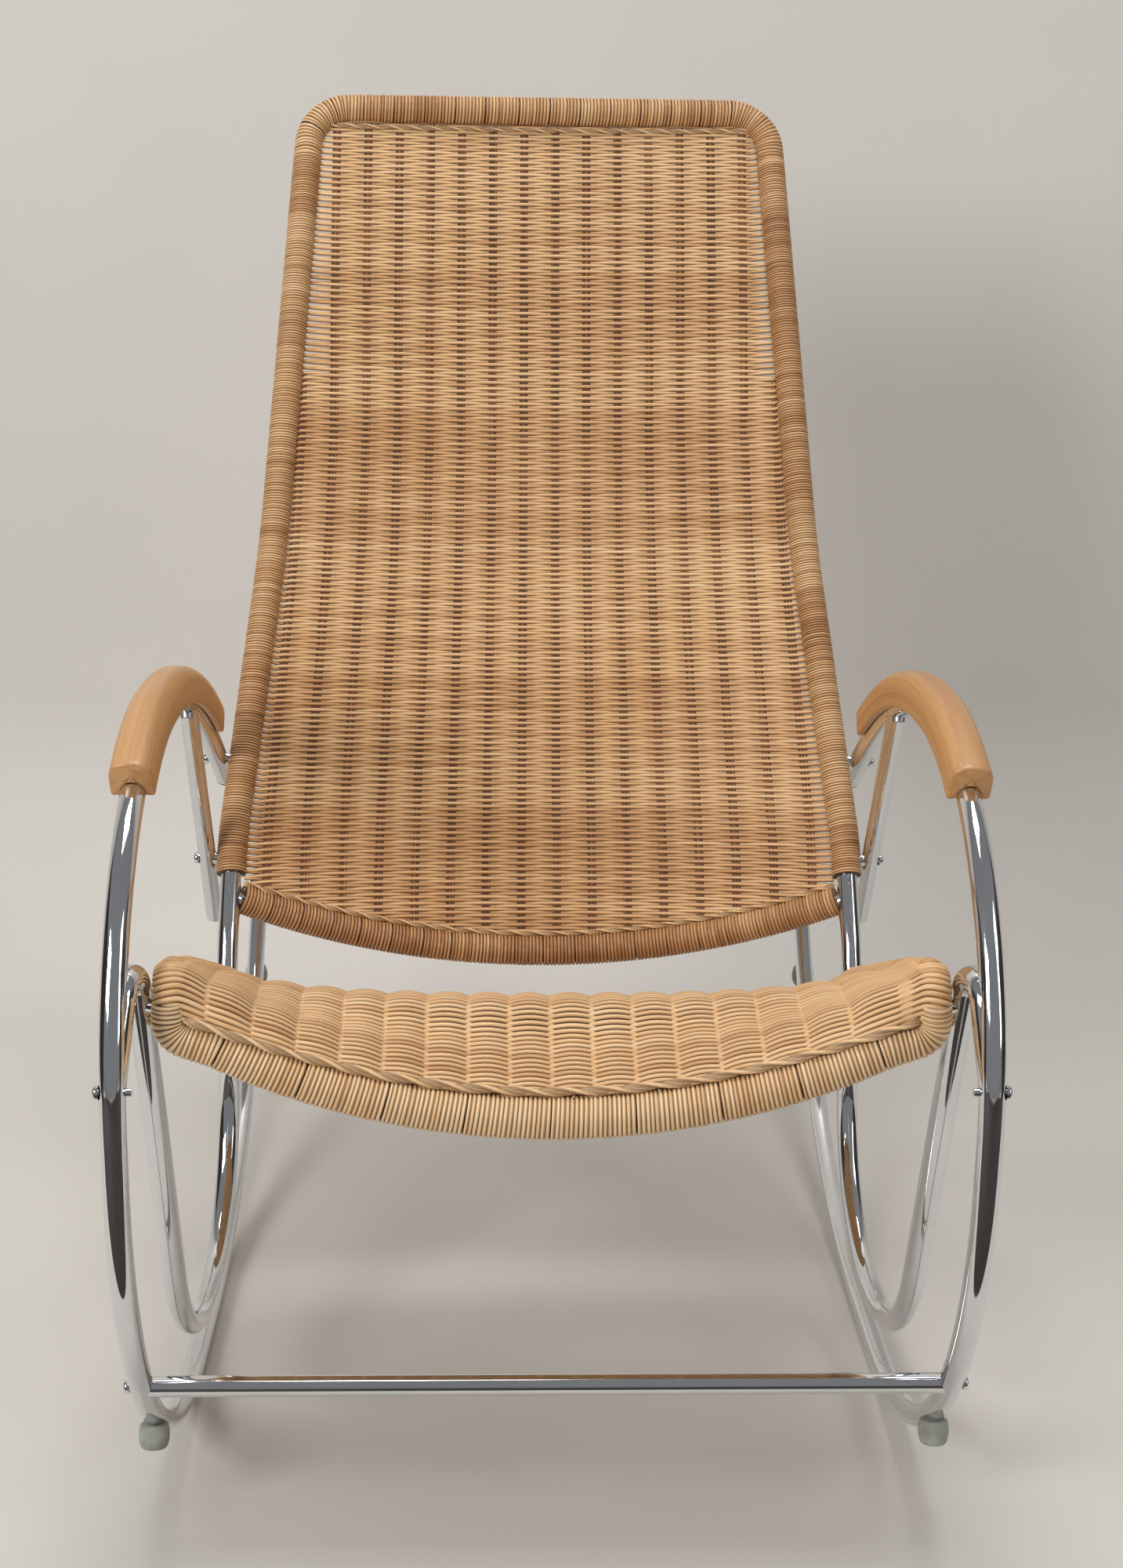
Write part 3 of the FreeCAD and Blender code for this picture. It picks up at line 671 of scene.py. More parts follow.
@dataclass
class Plan:
    """Corners of the rails, as the frame's source gives them, moved to the frame's origin.

    front_y is where the front of the side tube lies in the frame. Heights are of the rails' ends and of
    the joint of hoop and loop, and radii are of their bends, in the order that the rail runs.
    """

    front_y: float
    joint_height: float = 0.418
    winding_foot: float = 0.421
    lower_height: float = 0.403
    rear_height: float = 0.316
    loop_radius: float = 0.160
    rail_radii: tuple = (0.400, 0.700)
    top_radius: float = 0.042
    ring_radii: tuple = (0.020, 0.550, 0.020)
    ring_bend: float = 0.022
    arm_radii: tuple = (0.250, 0.400)

    def point(self, x: float, y: float, z: float) -> np.ndarray:
        """A point in millimetres from the side tube's front, in the frame's metres."""
        return np.array([x * MM, y * MM + self.front_y, z * MM])

    def __post_init__(self) -> None:
        """Works out the corners and lines of the shell's left side."""
        self.back_top = self.point(-230, 867, 1111)
        self.waist = self.point(-258, 672, 700)
        self.back_foot = self.point(-285, 512, 450)
        self.seat_bend = self.point(-285, 432, 338)
        self.loop_rear = self.point(-285, 438, 104)
        self.joint = self.on_height(self.seat_bend, self.back_foot, self.joint_height)
        self.lower_mid = self.point(0, 522, 336)
        self.seat_rear_mid = self.point(0, 464, 296)
        bend = corner_arc(self.joint, self.seat_bend, self.loop_rear, self.loop_radius)
        self.ring_rear = bend[len(bend) // 2 - 1:len(bend) // 2 + 1].mean(axis=0)
        self.ring_top = self.point(-277, 52, 490)
        self.ring_low = self.point(-277, 55, 437)
        self.ring_mid = self.point(0, 60, 315)
        low = self.on_height(self.seat_bend, self.back_foot, self.winding_foot)
        end = self.back_top + unit(self.waist - self.back_top) * 0.0525
        self.side_rail = bent_line([low, self.back_foot, self.waist, end], self.rail_radii)
        top = self.back_top + unit(self.waist - self.back_top) * 0.0555
        corners = [top, self.back_top, mirrored(self.back_top), mirrored(top)]
        self.top_rail = bent_line(corners, [self.top_radius] * 2)
        rail_end = self.on_height(self.seat_bend, self.back_foot, self.lower_height)
        self.lower_rail = three_point_arc(rail_end, self.lower_mid, mirrored(rail_end))
        rear_end = self.on_height(self.loop_rear, self.seat_bend, self.rear_height)
        self.seat_rear_rail = three_point_arc(rear_end, self.seat_rear_mid, mirrored(rear_end))
        ring = [self.ring_top, self.ring_low, self.ring_mid, mirrored(self.ring_low), mirrored(self.ring_top)]
        self.front_rail = bent_line(ring, self.ring_radii)
        self.seat_run = unit(self.ring_rear - self.ring_top)
        start = self.ring_low + unit(self.ring_top - self.ring_low) * 0.014
        self.seat_side = bent_line([start, self.ring_top, self.ring_rear - self.seat_run * 0.034], [self.ring_bend])

    def arm_line(self, front_share: float, rear_share: float) -> Line:
        """The left arm tube's line under its pad.

        Args:
            front_share: How much of the front curve the pad covers.
            rear_share: How much of the arm's bend it covers.

        Returns:
            The line from the pad's front end to its rear end.
        """
        bend = self.point(-310, 415, 625)
        top = self.point(-310, 0, 625)
        joint = self.on_height(self.back_foot, self.waist, 0.515)
        end = joint - ACROSS * (ROLL_RADIUS + CLEARANCE + TUBE_RADIUS)
        front = Line(corner_arc(bend, top, self.point(-310, 0, 0), self.arm_radii[0])[::-1])
        rear = Line(corner_arc(end, bend, top, self.arm_radii[1])[::-1])
        stretches = [front.between((1.0 - front_share) * front.length, front.length).points,
                     rear.between(0.0, rear_share * rear.length).points]
        return Line(np.concatenate(stretches))

    @staticmethod
    def on_height(start: np.ndarray, end: np.ndarray, height: float) -> np.ndarray:
        """The point at a height on the line through two points."""
        return start + (end - start) * ((height - start[2]) / (end[2] - start[2]))


# ---------------------------------------------------------------- windings


@dataclass
class Winding:
    """Rattan wound round a rail, turn beside turn, in the place of a plain sleeve's node.

    lead is where turns are counted from, radii the outer radius by shares of the rail's length, strand
    a strand's width, slant how far a turn leans along the rail, slit the spacing of the slits where
    stakes come round, which are sunk and given painted shade, or nought, and tone the level of its tones. profile is
    places across a turn from -1 to 1, whose ends take painted shade where turns meet, begins how often a turn starts
    a new strand, sway and swell how uneven turns are in place and thickness.
    """

    name: str
    node: str
    line: Line
    lead: np.ndarray
    radii: tuple = ((0.0, ROLL_RADIUS), (1.0, ROLL_RADIUS))
    strand: float = 3.0 * MM
    slant: float = 1.5 * MM
    seed: int = SEED
    slit: float = 0.0
    tone: float = 0.12
    around: int = 22
    profile: tuple = (-1.0, -0.82, -0.45, 0.0, 0.45, 0.82)
    begins: float = 0.045
    sway: float = 0.16
    swell: float = 0.12

    def tones(self, turns: int) -> np.ndarray:
        """A tone for each turn: steps where a new strand begins, and small changes from turn to turn.

        Args:
            turns: How many turns there are.

        Returns:
            Tones from nought to one.
        """
        draw = np.random.default_rng(self.seed)
        starts = draw.random(turns) < self.begins
        batch = draw.random(turns)[np.maximum.accumulate(np.where(starts, np.arange(turns), 0))]
        return np.clip(self.tone + 0.5 * batch + 0.5 * (draw.random(turns) - 0.5), 0.0, 1.0)

    def skin(self) -> Skin:
        """The wound surface.

        Across each turn the radius follows half an oval, r = R - t + t * sqrt(1 - p * p), and a turn's
        place along the rail shifts by slant * cos(a), so that turns lean as a helix does. At a slit the
        turn's first edge is sunk and the place beside it takes the edge's full painted shade.

        Returns:
            A closed surface from one end of the rail to the other.
        """
        turns = max(3, round(self.line.length / self.strand))
        draw = np.random.default_rng(self.seed + 1)
        pitch = self.line.length / turns
        across = np.tile(np.array(self.profile), (turns, 1))
        count = across.shape[1]
        slits = np.diff(np.floor(np.arange(turns + 1) * pitch / (self.slit or math.inf))) > 0.0
        across[slits, 1] = -0.5
        # places across a turn for the painted shade at its edges, full at a slit
        gap_shade_across = across.copy()
        gap_shade_across[slits, 1] = -1.0
        sway = self.sway * (draw.random(turns) - 0.5)
        place = ((np.arange(turns) + 0.5 + sway)[:, None] + across * 0.5).ravel() * pitch
        bulge = np.sqrt(1.0 - across ** 2)
        bulge[slits, 0] = -0.9
        swell = 1.0 + self.swell * (draw.random(turns) - 0.5)
        thick = 0.5 * self.strand
        outer = np.interp(place / self.line.length, *np.array(self.radii).T)
        radius = outer - thick + thick * (bulge * swell[:, None]).ravel()
        angle = circle(self.around)
        lengths = np.clip(place[:, None] + self.slant * np.cos(angle), 0.0, self.line.length)
        _, first, second = self.line.frames(place, self.lead)
        rings = self.line.at(lengths) + radius[:, None, None] * spokes(angle, first[:, None], second[:, None])
        tone = np.repeat(self.tones(turns), count)
        lie = stacked(angle * ROLL_RADIUS + place[:, None] * 7.0, gap_shade_across.ravel()[:, None], tone[:, None])
        hubs = np.stack([self.line.at(np.array(0.0)), self.line.at(np.array(self.line.length))])
        return swept(rings[None], lie[None], hubs)

    def build(self, material: bpy.types.Material) -> None:
        """Makes the winding and puts it in its sleeve's place."""
        piece = self.skin().to_piece(self.name, material, Slot.RATTAN)
        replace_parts(piece, self.node)


def twist(line: Line, lead: np.ndarray, radius: float, pitch: float, seed: int) -> Skin:
    """Two strands laid up as a rope along a line: each centre circles the line once a pitch.

    Args:
        line: The rope's own line.
        lead: The direction from which the turns are counted.
        radius: A strand's radius.
        pitch: The length of a whole turn.
        seed: What its random draws start from.

    Returns:
        The rope's surface.
    """
    lengths = np.linspace(0.0, line.length, max(24, round(line.length / pitch * 10)))
    heading, first, second = line.frames(lengths, lead)
    angle = TURN * lengths / pitch + np.array([0.0, math.pi])[:, None]
    spoke = spokes(angle, first, second)
    sweep = np.cross(np.broadcast_to(heading, spoke.shape), spoke)
    tones = np.random.default_rng(seed).random(2) * 0.3 + 0.6
    centres = line.at(lengths) + spoke * radius * ROPE_NEST
    return tubes(centres, sweep * radius, spoke * radius, tones, 8, ROPE_EDGE_SHADE)


# ---------------------------------------------------------------- woven panels


@dataclass
class WovenPanel:
    """A dished panel of strands woven over and under upright stakes.

    edge and middle are points of the left edge and of the middle line, from the panel's start to its end.
    front_shape is how the first row rises from middle to edge where it isn't a plain bend, front_fade the
    height by which it has become one, and strand_edge_shade how much painted shade a strand's edges take. Tones
    differ by tone_spread from strand to strand and drift by band_spread.
    """

    edge: np.ndarray
    middle: np.ndarray
    seed: int
    front_shape: np.ndarray | None = None
    front_fade: float = 0.4
    bend_power: float = 2.0
    # painted shade at a strand's edges, where it meets its neighbours
    strand_edge_shade: float = 0.92
    tone_spread: float = 0.42
    band_spread: float = 0.3

    def place(self, share: np.ndarray, height: np.ndarray) -> np.ndarray:
        """Points of the panel's mid surface.

        The point is middle + (edge - middle) * |share| ** power in the side view, with x = edge x * share.
        Where a front shape is given, it takes the power's place at the start and fades out.

        Args:
            share: From -1 at the right edge to 1 at the left one.
            height: From 0 at the panel's start to 1 at its end.

        Returns:
            Points in an array with one more axis, of three.
        """
        rows = np.linspace(0.0, 1.0, len(self.edge))
        edge = points_at(height, rows, self.edge)
        middle = points_at(height, rows, self.middle)
        rise = np.abs(share) ** self.bend_power
        if self.front_shape is not None:
            fade = np.clip(1.0 - height / self.front_fade, 0.0, 1.0)
            places = np.linspace(0.0, 1.0, len(self.front_shape))
            rise = rise + (np.interp(np.abs(share), places, self.front_shape) - rise) * fade
        bent = middle + (edge - middle) * rise[..., None]
        bent[..., 0] = edge[..., 0] * share
        return bent

    def normal(self, share: np.ndarray, height: np.ndarray) -> np.ndarray:
        """The panel's outward direction, from the cross product of its two slopes.

        Args:
            share: Places across.
            height: Places up.

        Returns:
            Unit vectors.
        """
        step = 0.004
        across = self.place(share + step, height) - self.place(share - step, height)
        up = self.place(share, np.minimum(height + step, 1.0)) - self.place(share, np.maximum(height - step, 0.0))
        return unit(np.cross(up, across))

    def lifted(self, share: np.ndarray, height: np.ndarray, sway: np.ndarray) -> tuple[np.ndarray, np.ndarray]:
        """Places lifted off the mid surface by a sway, and the outward directions there."""
        normal = self.normal(share, height)
        return self.place(share, height) + normal * sway[..., None], normal

    def strands(self, centres: np.ndarray, normal: np.ndarray, wide: float, deep: float,
                edge: np.ndarray | float) -> Skin:
        """Strands along rows of centres, flat to the panel's outward direction.

        Args:
            centres: Centre points, by strand and by place along it.
            normal: The outward direction at each.
            wide: Half a strand's width.
            deep: Half its depth.
            edge: How much painted shade the strands' edges take, at each centre.

        Returns:
            The strands' surface.
        """
        heading = unit(np.gradient(centres, axis=1))
        lift = unit(normal - heading * (normal * heading).sum(axis=-1, keepdims=True))
        draw = np.random.default_rng(self.seed)
        tones = 0.5 + self.tone_spread * (draw.random(len(centres)) - 0.5) + self.bands(len(centres), draw)
        return tubes(centres, np.cross(heading, lift) * wide, lift * deep, np.clip(tones, 0.0, 1.0), edge=edge)

    def bands(self, rows: int, draw: np.random.Generator) -> np.ndarray:
        """Slow changes of tone from row to row, as strands of other bundles come in."""
        knots = draw.random(max(4, rows // 12)) - 0.5
        return self.band_spread * np.interp(np.arange(rows), np.linspace(0, rows - 1, len(knots)), knots)

    def uprights(self, share: np.ndarray, height: np.ndarray, width: float, tones: np.ndarray) -> Skin:
        """Round stakes up the panel.

        Args:
            share: Places across, by stake and by place along it.
            height: Places up, in the same way.
            width: A stake's width.
            tones: One tone a stake.

        Returns:
            The stakes' surface.
        """
        centres = self.place(share, height)
        normal = self.normal(share, height)
        aside = np.cross(unit(np.gradient(centres, axis=1)), normal)
        return tubes(centres, aside * (0.5 * width), normal * (0.5 * width), tones)

    def raised(self, share: np.ndarray, place_at: float, lift_at: float, lift: np.ndarray | float) -> Line:
        """A line across the panel, raised off its mid surface.

        Args:
            share: Places across.
            place_at: The place up.
            lift_at: The place up whose outward direction it is raised along.
            lift: How far it is raised.

        Returns:
            The line.
        """
        level = 0.0 * share
        return Line(self.place(share, level + place_at) + self.normal(share, level + lift_at) * lift)


@dataclass
class WovenBack:
    """The back: strands over and under triple stakes, rope edges and wound rails.

    inset is how far the panel's edge lies inside the rails' lines, less the tucks under the top, lower and
    side rolls. row_spread is the rows' spacing by places up. lift is in depths of strand and stake, gather in rows.
    last_stakes are where rows begin to gather, below and above the end of the outermost columns.
    A rope is given by its strands' radius and its pitch.
    """

    plan: Plan
    row_pitch: float = 2.95 * MM
    row_spread: tuple = ((0.0, 1.03), (0.2, 0.96), (0.5, 0.97), (0.75, 1.07), (1.0, 1.07))
    strand: float = 2.9 * MM
    strand_wide: float = 3.85 * MM
    stake: float = 2.7 * MM
    columns: int = 16
    inset: float = 14.6 * MM
    tucks: tuple = (4.0 * MM, 3.5 * MM, 2.0 * MM)
    foot_height: float = 0.409
    low_dish_power: float = 1.4
    top_dish: float = 6.0 * MM
    own_sag: float = 0.3
    short_columns_from: float = 0.66
    places: int = 98
    lift: float = 0.19
    gather: float = 0.44
    last_stakes: tuple = (7.5, 6.5)
    rope: tuple = (1.6 * MM, 42.0 * MM)
    side_strand: float = 2.6 * MM
    rail_strand: float = 3.4 * MM
    lower_raise: float = 2.5 * MM

    def __post_init__(self) -> None:
        """Works out the panel's edge and middle lines."""
        plan = self.plan
        run = unit(plan.waist - plan.back_foot)
        rail = plan.side_rail
        top_inset, low_inset, side_inset = (self.inset - tuck for tuck in self.tucks)
        top = plan.back_top + unit(plan.waist - plan.back_top) * top_inset
        low = plan.on_height(plan.seat_bend, plan.back_foot, self.foot_height)
        path = Line(np.concatenate([low[None], rail.at(np.linspace(0.003, rail.length, 200)), top[None]]))
        edge = path.at(np.linspace(0.0, 1.0, 90) * path.length)
        height = (edge[:, 2] - edge[0, 2]) / (edge[-1, 2] - edge[0, 2])
        low_dish = plan.lower_mid + run * NO_X * low_inset - edge[0] * NO_X
        slope = unit(plan.back_top - plan.waist)
        facing = unit(np.array([0.0, -slope[2], slope[1]]))
        dish = low_dish * ((1.0 - height) ** self.low_dish_power)[:, None]
        middle = edge * NO_X + dish - facing * (self.top_dish * height)[:, None]
        self.panel = WovenPanel(edge + ACROSS * side_inset, middle, SEED + 11)

    def spacing(self, height: np.ndarray) -> np.ndarray:
        """The stakes' spacing as a share of half the width, wider towards the top."""
        return np.interp(height, [0.0, 0.6, 1.0], [0.124, 0.131, 0.144])

    def rows(self) -> tuple[np.ndarray, np.ndarray]:
        """Places of the strands: nearly level rows, each ended by the panel's border.

        Returns:
            Places across and up, by strand and by place along it.
        """
        panel = self.panel
        grid = np.linspace(0.0, 1.0, 400)
        middle = panel.place(0.0 * grid, grid)[:, 2]
        rise = panel.place(0.0 * grid + 1.0, grid)[:, 2] - middle
        run = np.linalg.norm(np.diff(panel.place(0.0 * grid, grid), axis=0), axis=1)
        pitch = self.row_pitch * np.interp(grid[1:], *np.array(self.row_spread).T)
        tally = np.concatenate([[0.0], np.cumsum(run / pitch)])
        own = np.interp(np.arange(int(tally[-1])) + 0.6, tally, grid)
        level = np.interp(own, grid, middle)
        sag = self.own_sag * np.interp(own, grid, rise)
        reach = np.sqrt(np.clip((level - middle[0]) / np.maximum(rise[0] - sag, 1e-6), 0.004, 1.0))
        share = np.linspace(-1.0, 1.0, self.places) * reach[:, None]
        wanted = (level[:, None] + sag[:, None] * share ** 2)[..., None]
        column = middle + rise * (share ** 2)[..., None]
        below = np.clip((column < wanted).sum(axis=-1, keepdims=True) - 1, 0, len(grid) - 2)
        low = np.take_along_axis(column, below, axis=-1)
        high = np.take_along_axis(column, below + 1, axis=-1)
        height = (below + np.clip((wanted - low) / (high - low), 0.0, 1.0)) / (len(grid) - 1.0)
        return share, height[..., 0]

    def weft(self) -> list[Skin]:
        """The woven strands, in a lower and an upper half.

        A strand lies in front of one stake and behind the next: lift = a * sin(pi c), where c counts stakes
        across, and the next row does the opposite. Near the rails rows draw together two by two, which
        leaves the row of small gaps there.

        Returns:
            Two surfaces.
        """
        share, height = self.rows()
        count = share / self.spacing(height)
        parity = np.where(np.arange(len(share)) % 2 == 0, 1.0, -1.0)[:, None]
        sway = self.lift * (self.strand + self.stake) * parity * np.sin(math.pi * count)
        last = np.where(height < self.short_columns_from, *self.last_stakes)
        rim = np.clip((np.abs(count) - last) / (1.0 / self.spacing(height) - last), 0.0, 1.0)
        pitch = np.gradient(height.mean(axis=1))[:, None]
        height = np.clip(height + parity * self.gather * pitch * rim, 0.0, 1.0)
        sway = sway * (1.0 - rim)
        half = len(share) // 2
        size = (0.5 * self.strand_wide, 0.5 * self.strand, self.panel.strand_edge_shade)
        return [self.panel.strands(*self.panel.lifted(share[part], height[part], sway[part]), *size)
                for part in (slice(0, half), slice(half, None))]

    def stakes(self) -> Skin:
        """The upright stakes, three side by side in each column.

        Returns:
            Their surface.
        """
        number = np.repeat(np.arange(self.columns) - (self.columns - 1) / 2.0, 3)
        beside = np.tile(np.array([-1.0, 0.0, 1.0]) * self.stake * 1.06, self.columns)
        outermost = np.abs(number) > np.mean(self.last_stakes)
        top = np.where(outermost, self.short_columns_from, 0.995)
        height = np.linspace(0.004, 1.0, 110)[None] * top[:, None]
        half_width = np.interp(height, np.linspace(0.0, 1.0, len(self.panel.edge)), -self.panel.edge[:, 0])
        share = number[:, None] * self.spacing(height) + beside[:, None] / half_width
        # Tones below nought give the back's stakes the darkest brown of the rattan: painted shade of the notches
        # where they show between the rows.
        tones = np.random.default_rng(SEED + 5).random(len(number)) * 0.2 - 0.5
        return self.panel.uprights(-share, height, self.stake, tones)

    def borders(self) -> Skin:
        """The ropes of two strands along the lower rail and under the top rail.

        Returns:
            Their surface.
        """
        across = np.linspace(-1.0, 1.0, 200)
        low = twist(self.panel.raised(across, 0.006, 0.01, 2.5 * MM), ROPE_LEAD, *self.rope, SEED + 3)
        return low.joined(twist(self.panel.raised(across, 0.99, 0.99, 2.0 * MM), ROPE_LEAD, *self.rope, SEED + 4))

    def build(self, material: bpy.types.Material) -> None:
        """Makes the back's weave and its four windings.

        Args:
            material: The rattan.
        """
        lower, upper = self.weft()
        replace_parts(lower.to_piece("back_weave_lower", material, Slot.RATTAN), "back_weave")
        upper.to_piece("back_weave_upper", material, Slot.RATTAN)
        self.stakes().to_piece("back_stakes", material, Slot.RATTAN)
        self.borders().to_piece("back_rope_edges", material, Slot.RATTAN)
        for number, side in enumerate(Side):
            Winding(f"back_{side.label}_winding", f"back_{side.label}_wrap", side.carry(self.plan.side_rail), ACROSS,
                    strand=self.side_strand, slant=0.5 * MM, seed=SEED + 21 + number).build(material)
        facing = unit(np.array([0.0, -0.9, 0.43]))
        Winding("back_top_winding", "back_top_wrap", self.plan.top_rail, facing, strand=self.rail_strand,
                slit=31.0 * MM, seed=SEED + 23, tone=0.16).build(material)
        low = self.plan.lower_rail
        low = low.between(0.018 * low.length, 0.982 * low.length)
        bend = (2.0 * low.lengths / low.length - 1.0) ** 2
        low = Line(low.points + np.array([0.0, 0.0, self.lower_raise]) * bend[:, None])
        Winding("back_lower_winding", "back_lower_wrap", low, facing, strand=self.rail_strand, slant=0.2 * MM,
                slit=29.6 * MM, seed=SEED + 24, tone=-0.26).build(material)


@dataclass
class WovenSeat:
    """The seat: strands over single stakes, in soft pillows, with its windings.

    split is the ring's length before the front winding, end_radii are the front roll's at and near its
    ends, crest is the weave's highest point at the middle, and rim the place across where strands turn
    to the side rolls. under is how far the side windings lie below the strands that pass over them.
    """

    plan: Plan
    row_pitch: float = 2.45 * MM
    strand: float = 3.4 * MM
    strand_wide: float = 4.7 * MM
    stake: float = 2.6 * MM
    columns: int = 16
    spacing: float = 0.1165
    inset: float = 9.0 * MM
    sink: float = 2.2 * MM
    split: float = 39.0 * MM
    corner_radius: float = 12.0 * MM
    end_radii: tuple = (12.0 * MM, 14.6 * MM)
    front_radius: float = 16.0 * MM
    front_raise: float = 6.0 * MM
    front_lean: float = 8.0
    crest: tuple = (0, 160, 425)
    bend_power: float = 5.5
    places: int = 102
    lift: float = 0.66
    rim: float = 0.93
    wrap_places: int = 9
    wrap_turn: float = 2.2
    wrap_drift: float = 0.0105
    # painted shade at the edges of strands where they wrap over the side rolls
    wrap_edge_shade: float = 0.6
    ease: int = 3
    overlap: float = 14.0 * MM
    rope: tuple = (2.1 * MM, 60.0 * MM)
    winding: float = 3.5 * MM
    under: float = 2.4 * MM

    def __post_init__(self) -> None:
        """Works out the panel's edge and middle lines, front to rear, both by even lengths.

        The edge runs on the crown of the side rolls: rail + facing * sqrt(R * R - inset * inset).
        """
        plan = self.plan
        run = plan.seat_run
        front = plan.front_rail.at(np.array(plan.front_rail.length / 2.0))
        lean = math.radians(self.front_lean)
        front_mid = front + np.array([0.0, math.sin(lean), math.cos(lean)]) * (self.front_radius - 1.0 * MM)
        front_mid = front_mid + np.array([0.0, 0.0, self.front_raise])
        crest_mid = plan.point(*self.crest)
        rear_mid = plan.seat_rear_mid - run * NO_X * (ROLL_RADIUS + CLEARANCE)
        mids = [front_mid, 0.5 * (front_mid + crest_mid), crest_mid]
        mids += [crest_mid + (rear_mid - crest_mid) * share for share in (0.35, 0.7, 1.0)]
        middle = Line(smooth_line(np.array(mids), 240))
        side = plan.seat_side
        place = np.linspace(0.0, side.length, 240)
        drop = math.degrees(math.atan2(-run[2], run[1]))
        turn = np.radians(np.interp(place, [0.0, 0.071, 0.128, 0.22], [-62.0, -26.0, 4.0, drop]))
        facing = np.stack([0.0 * turn, np.sin(turn), np.cos(turn)], axis=-1)
        radius = np.interp(place, [0.0, 0.13], [self.corner_radius, ROLL_RADIUS])
        crown = np.sqrt(radius ** 2 - self.inset ** 2) - self.sink
        edge = Line(side.at(place) + facing * crown[:, None] + ACROSS * self.inset)
        rows = np.linspace(0.0, 1.0, 160)
        along = np.interp(rows * edge.length, edge.lengths, place)
        self.rows = int(middle.length / self.row_pitch)
        self.rail = side.at(along)
        self.facing = points_at(along, place, facing)
        self.crown = np.interp(along, place, crown)
        rail = plan.front_rail.points
        rail = rail[(rail[:, 0] <= 0.0) & (rail[:, 2] < rail[0, 2] - self.split)][::-1]
        shape = np.interp(np.linspace(0.0, -edge.points[0, 0], 60), -rail[:, 0], rail[:, 2])
        shape = (shape - shape[0]) / (shape[-1] - shape[0])
        self.panel = WovenPanel(edge.at(rows * edge.length), middle.at(rows * middle.length), SEED + 31, shape,
                                bend_power=self.bend_power)

    def wraps(self, level: np.ndarray) -> tuple[np.ndarray, np.ndarray]:
        """Where strands pass over the left side roll, from its inner side to below its outer side.

        A point is rail + r * (sin(a) * inward + cos(a) * facing), and a strand drifts on towards the front
        as it turns, by d * (2 t - t * t), so that it leaves the panel without a kink.

        Args:
            level: The strands' places from front to rear.

        Returns:
            Centre points and outward directions, by strand and by place along it.
        """
        rows = np.linspace(0.0, 1.0, len(self.rail))
        turned = np.linspace(0.08, 1.0, self.wrap_places)
        drift = self.wrap_drift * (1.0 - level)[:, None] * (2.0 * turned - turned ** 2)
        level = np.maximum(level[:, None] - drift, 0.0)
        rail = points_at(level, rows, self.rail)
        facing = unit(points_at(level, rows, self.facing))
        crown = np.interp(level, rows, self.crown)
        start = np.arctan2(self.inset, crown)
        angle = (start - self.wrap_turn * turned)[..., None]
        way = np.sin(angle) * ACROSS + np.cos(angle) * facing
        return rail + np.hypot(self.inset, crown)[..., None] * way, way

    def batch(self, level: np.ndarray, parity: float) -> Skin:
        """Strands of one parity: odd ones dive under the side rolls, even ones wrap over them.

        Each centre line is eased by a few rounds of averaging with its neighbours.

        Args:
            level: The strands' places from front to rear.
            parity: 1 for strands over the stake left of the middle, -1 for those under it.

        Returns:
            The strands' surface.
        """
        across = np.linspace(-1.0, 1.0, self.places)
        share = np.broadcast_to(across, (len(level), self.places)).copy()
        height = np.broadcast_to(level[:, None], share.shape).copy()
        wave = parity * np.sin(math.pi * share / self.spacing)
        rim = np.clip((np.abs(share) - self.rim) / (1.0 - self.rim), 0.0, 1.0)
        sway = self.lift * (self.strand + self.stake) * (wave * (1.0 - rim) + min(parity, 0.0) * rim)
        centres, normal = self.panel.lifted(share, height, sway)
        edge = np.full(self.places, self.panel.strand_edge_shade)
        if parity > 0.0:
            wrap, way = self.wraps(level)
            centres = np.concatenate([mirrored(wrap)[:, ::-1], centres, wrap], axis=1)
            normal = np.concatenate([mirrored(way)[:, ::-1], normal, way], axis=1)
            edge = np.pad(edge, self.wrap_places, constant_values=self.wrap_edge_shade)
        for _ in range(self.ease):
            centres[:, 1:-1] = 0.5 * centres[:, 1:-1] + 0.25 * (centres[:, :-2] + centres[:, 2:])
        return self.panel.strands(centres, normal, 0.5 * self.strand_wide, 0.5 * self.strand, edge)

    def weft(self) -> list[Skin]:
        """The woven strands, in a front and a rear part.

        Strands pass over one stake and under the next, lift = a * sin(pi c), and lie so close that
        those on top touch, which gives the pillows.

        Returns:
            Two surfaces.
        """
        level = (np.arange(self.rows) + 0.5) / self.rows
        half = self.rows // 5 * 2
        return [self.batch(part[::2], 1.0).joined(self.batch(part[1::2], -1.0))
                for part in (level[:half], level[half:])]

    def stakes(self) -> Skin:
        """The stakes from the front rail to the rear rail.

        Returns:
            Their surface.
        """
        number = np.arange(self.columns) - (self.columns - 1) / 2.0
        share, height = np.meshgrid(number * self.spacing, np.linspace(0.0, 1.0, 90), indexing="ij")
        tones = np.random.default_rng(SEED + 6).random(self.columns) * 0.4 + 0.2
        return self.panel.uprights(share, height, self.stake, tones)

    def borders(self) -> Skin:
        """The rope of two strands behind the front roll.

        Returns:
            Its surface.
        """
        across = np.linspace(-0.985, 0.985, 200)
        lift = np.interp(np.abs(across), [0.0, 0.95, 1.0], [5.0 * MM, 5.0 * MM, -1.0 * MM])[:, None]
        return twist(self.panel.raised(across, 0.004, 0.01, lift), ROPE_LEAD, *self.rope, SEED + 8)

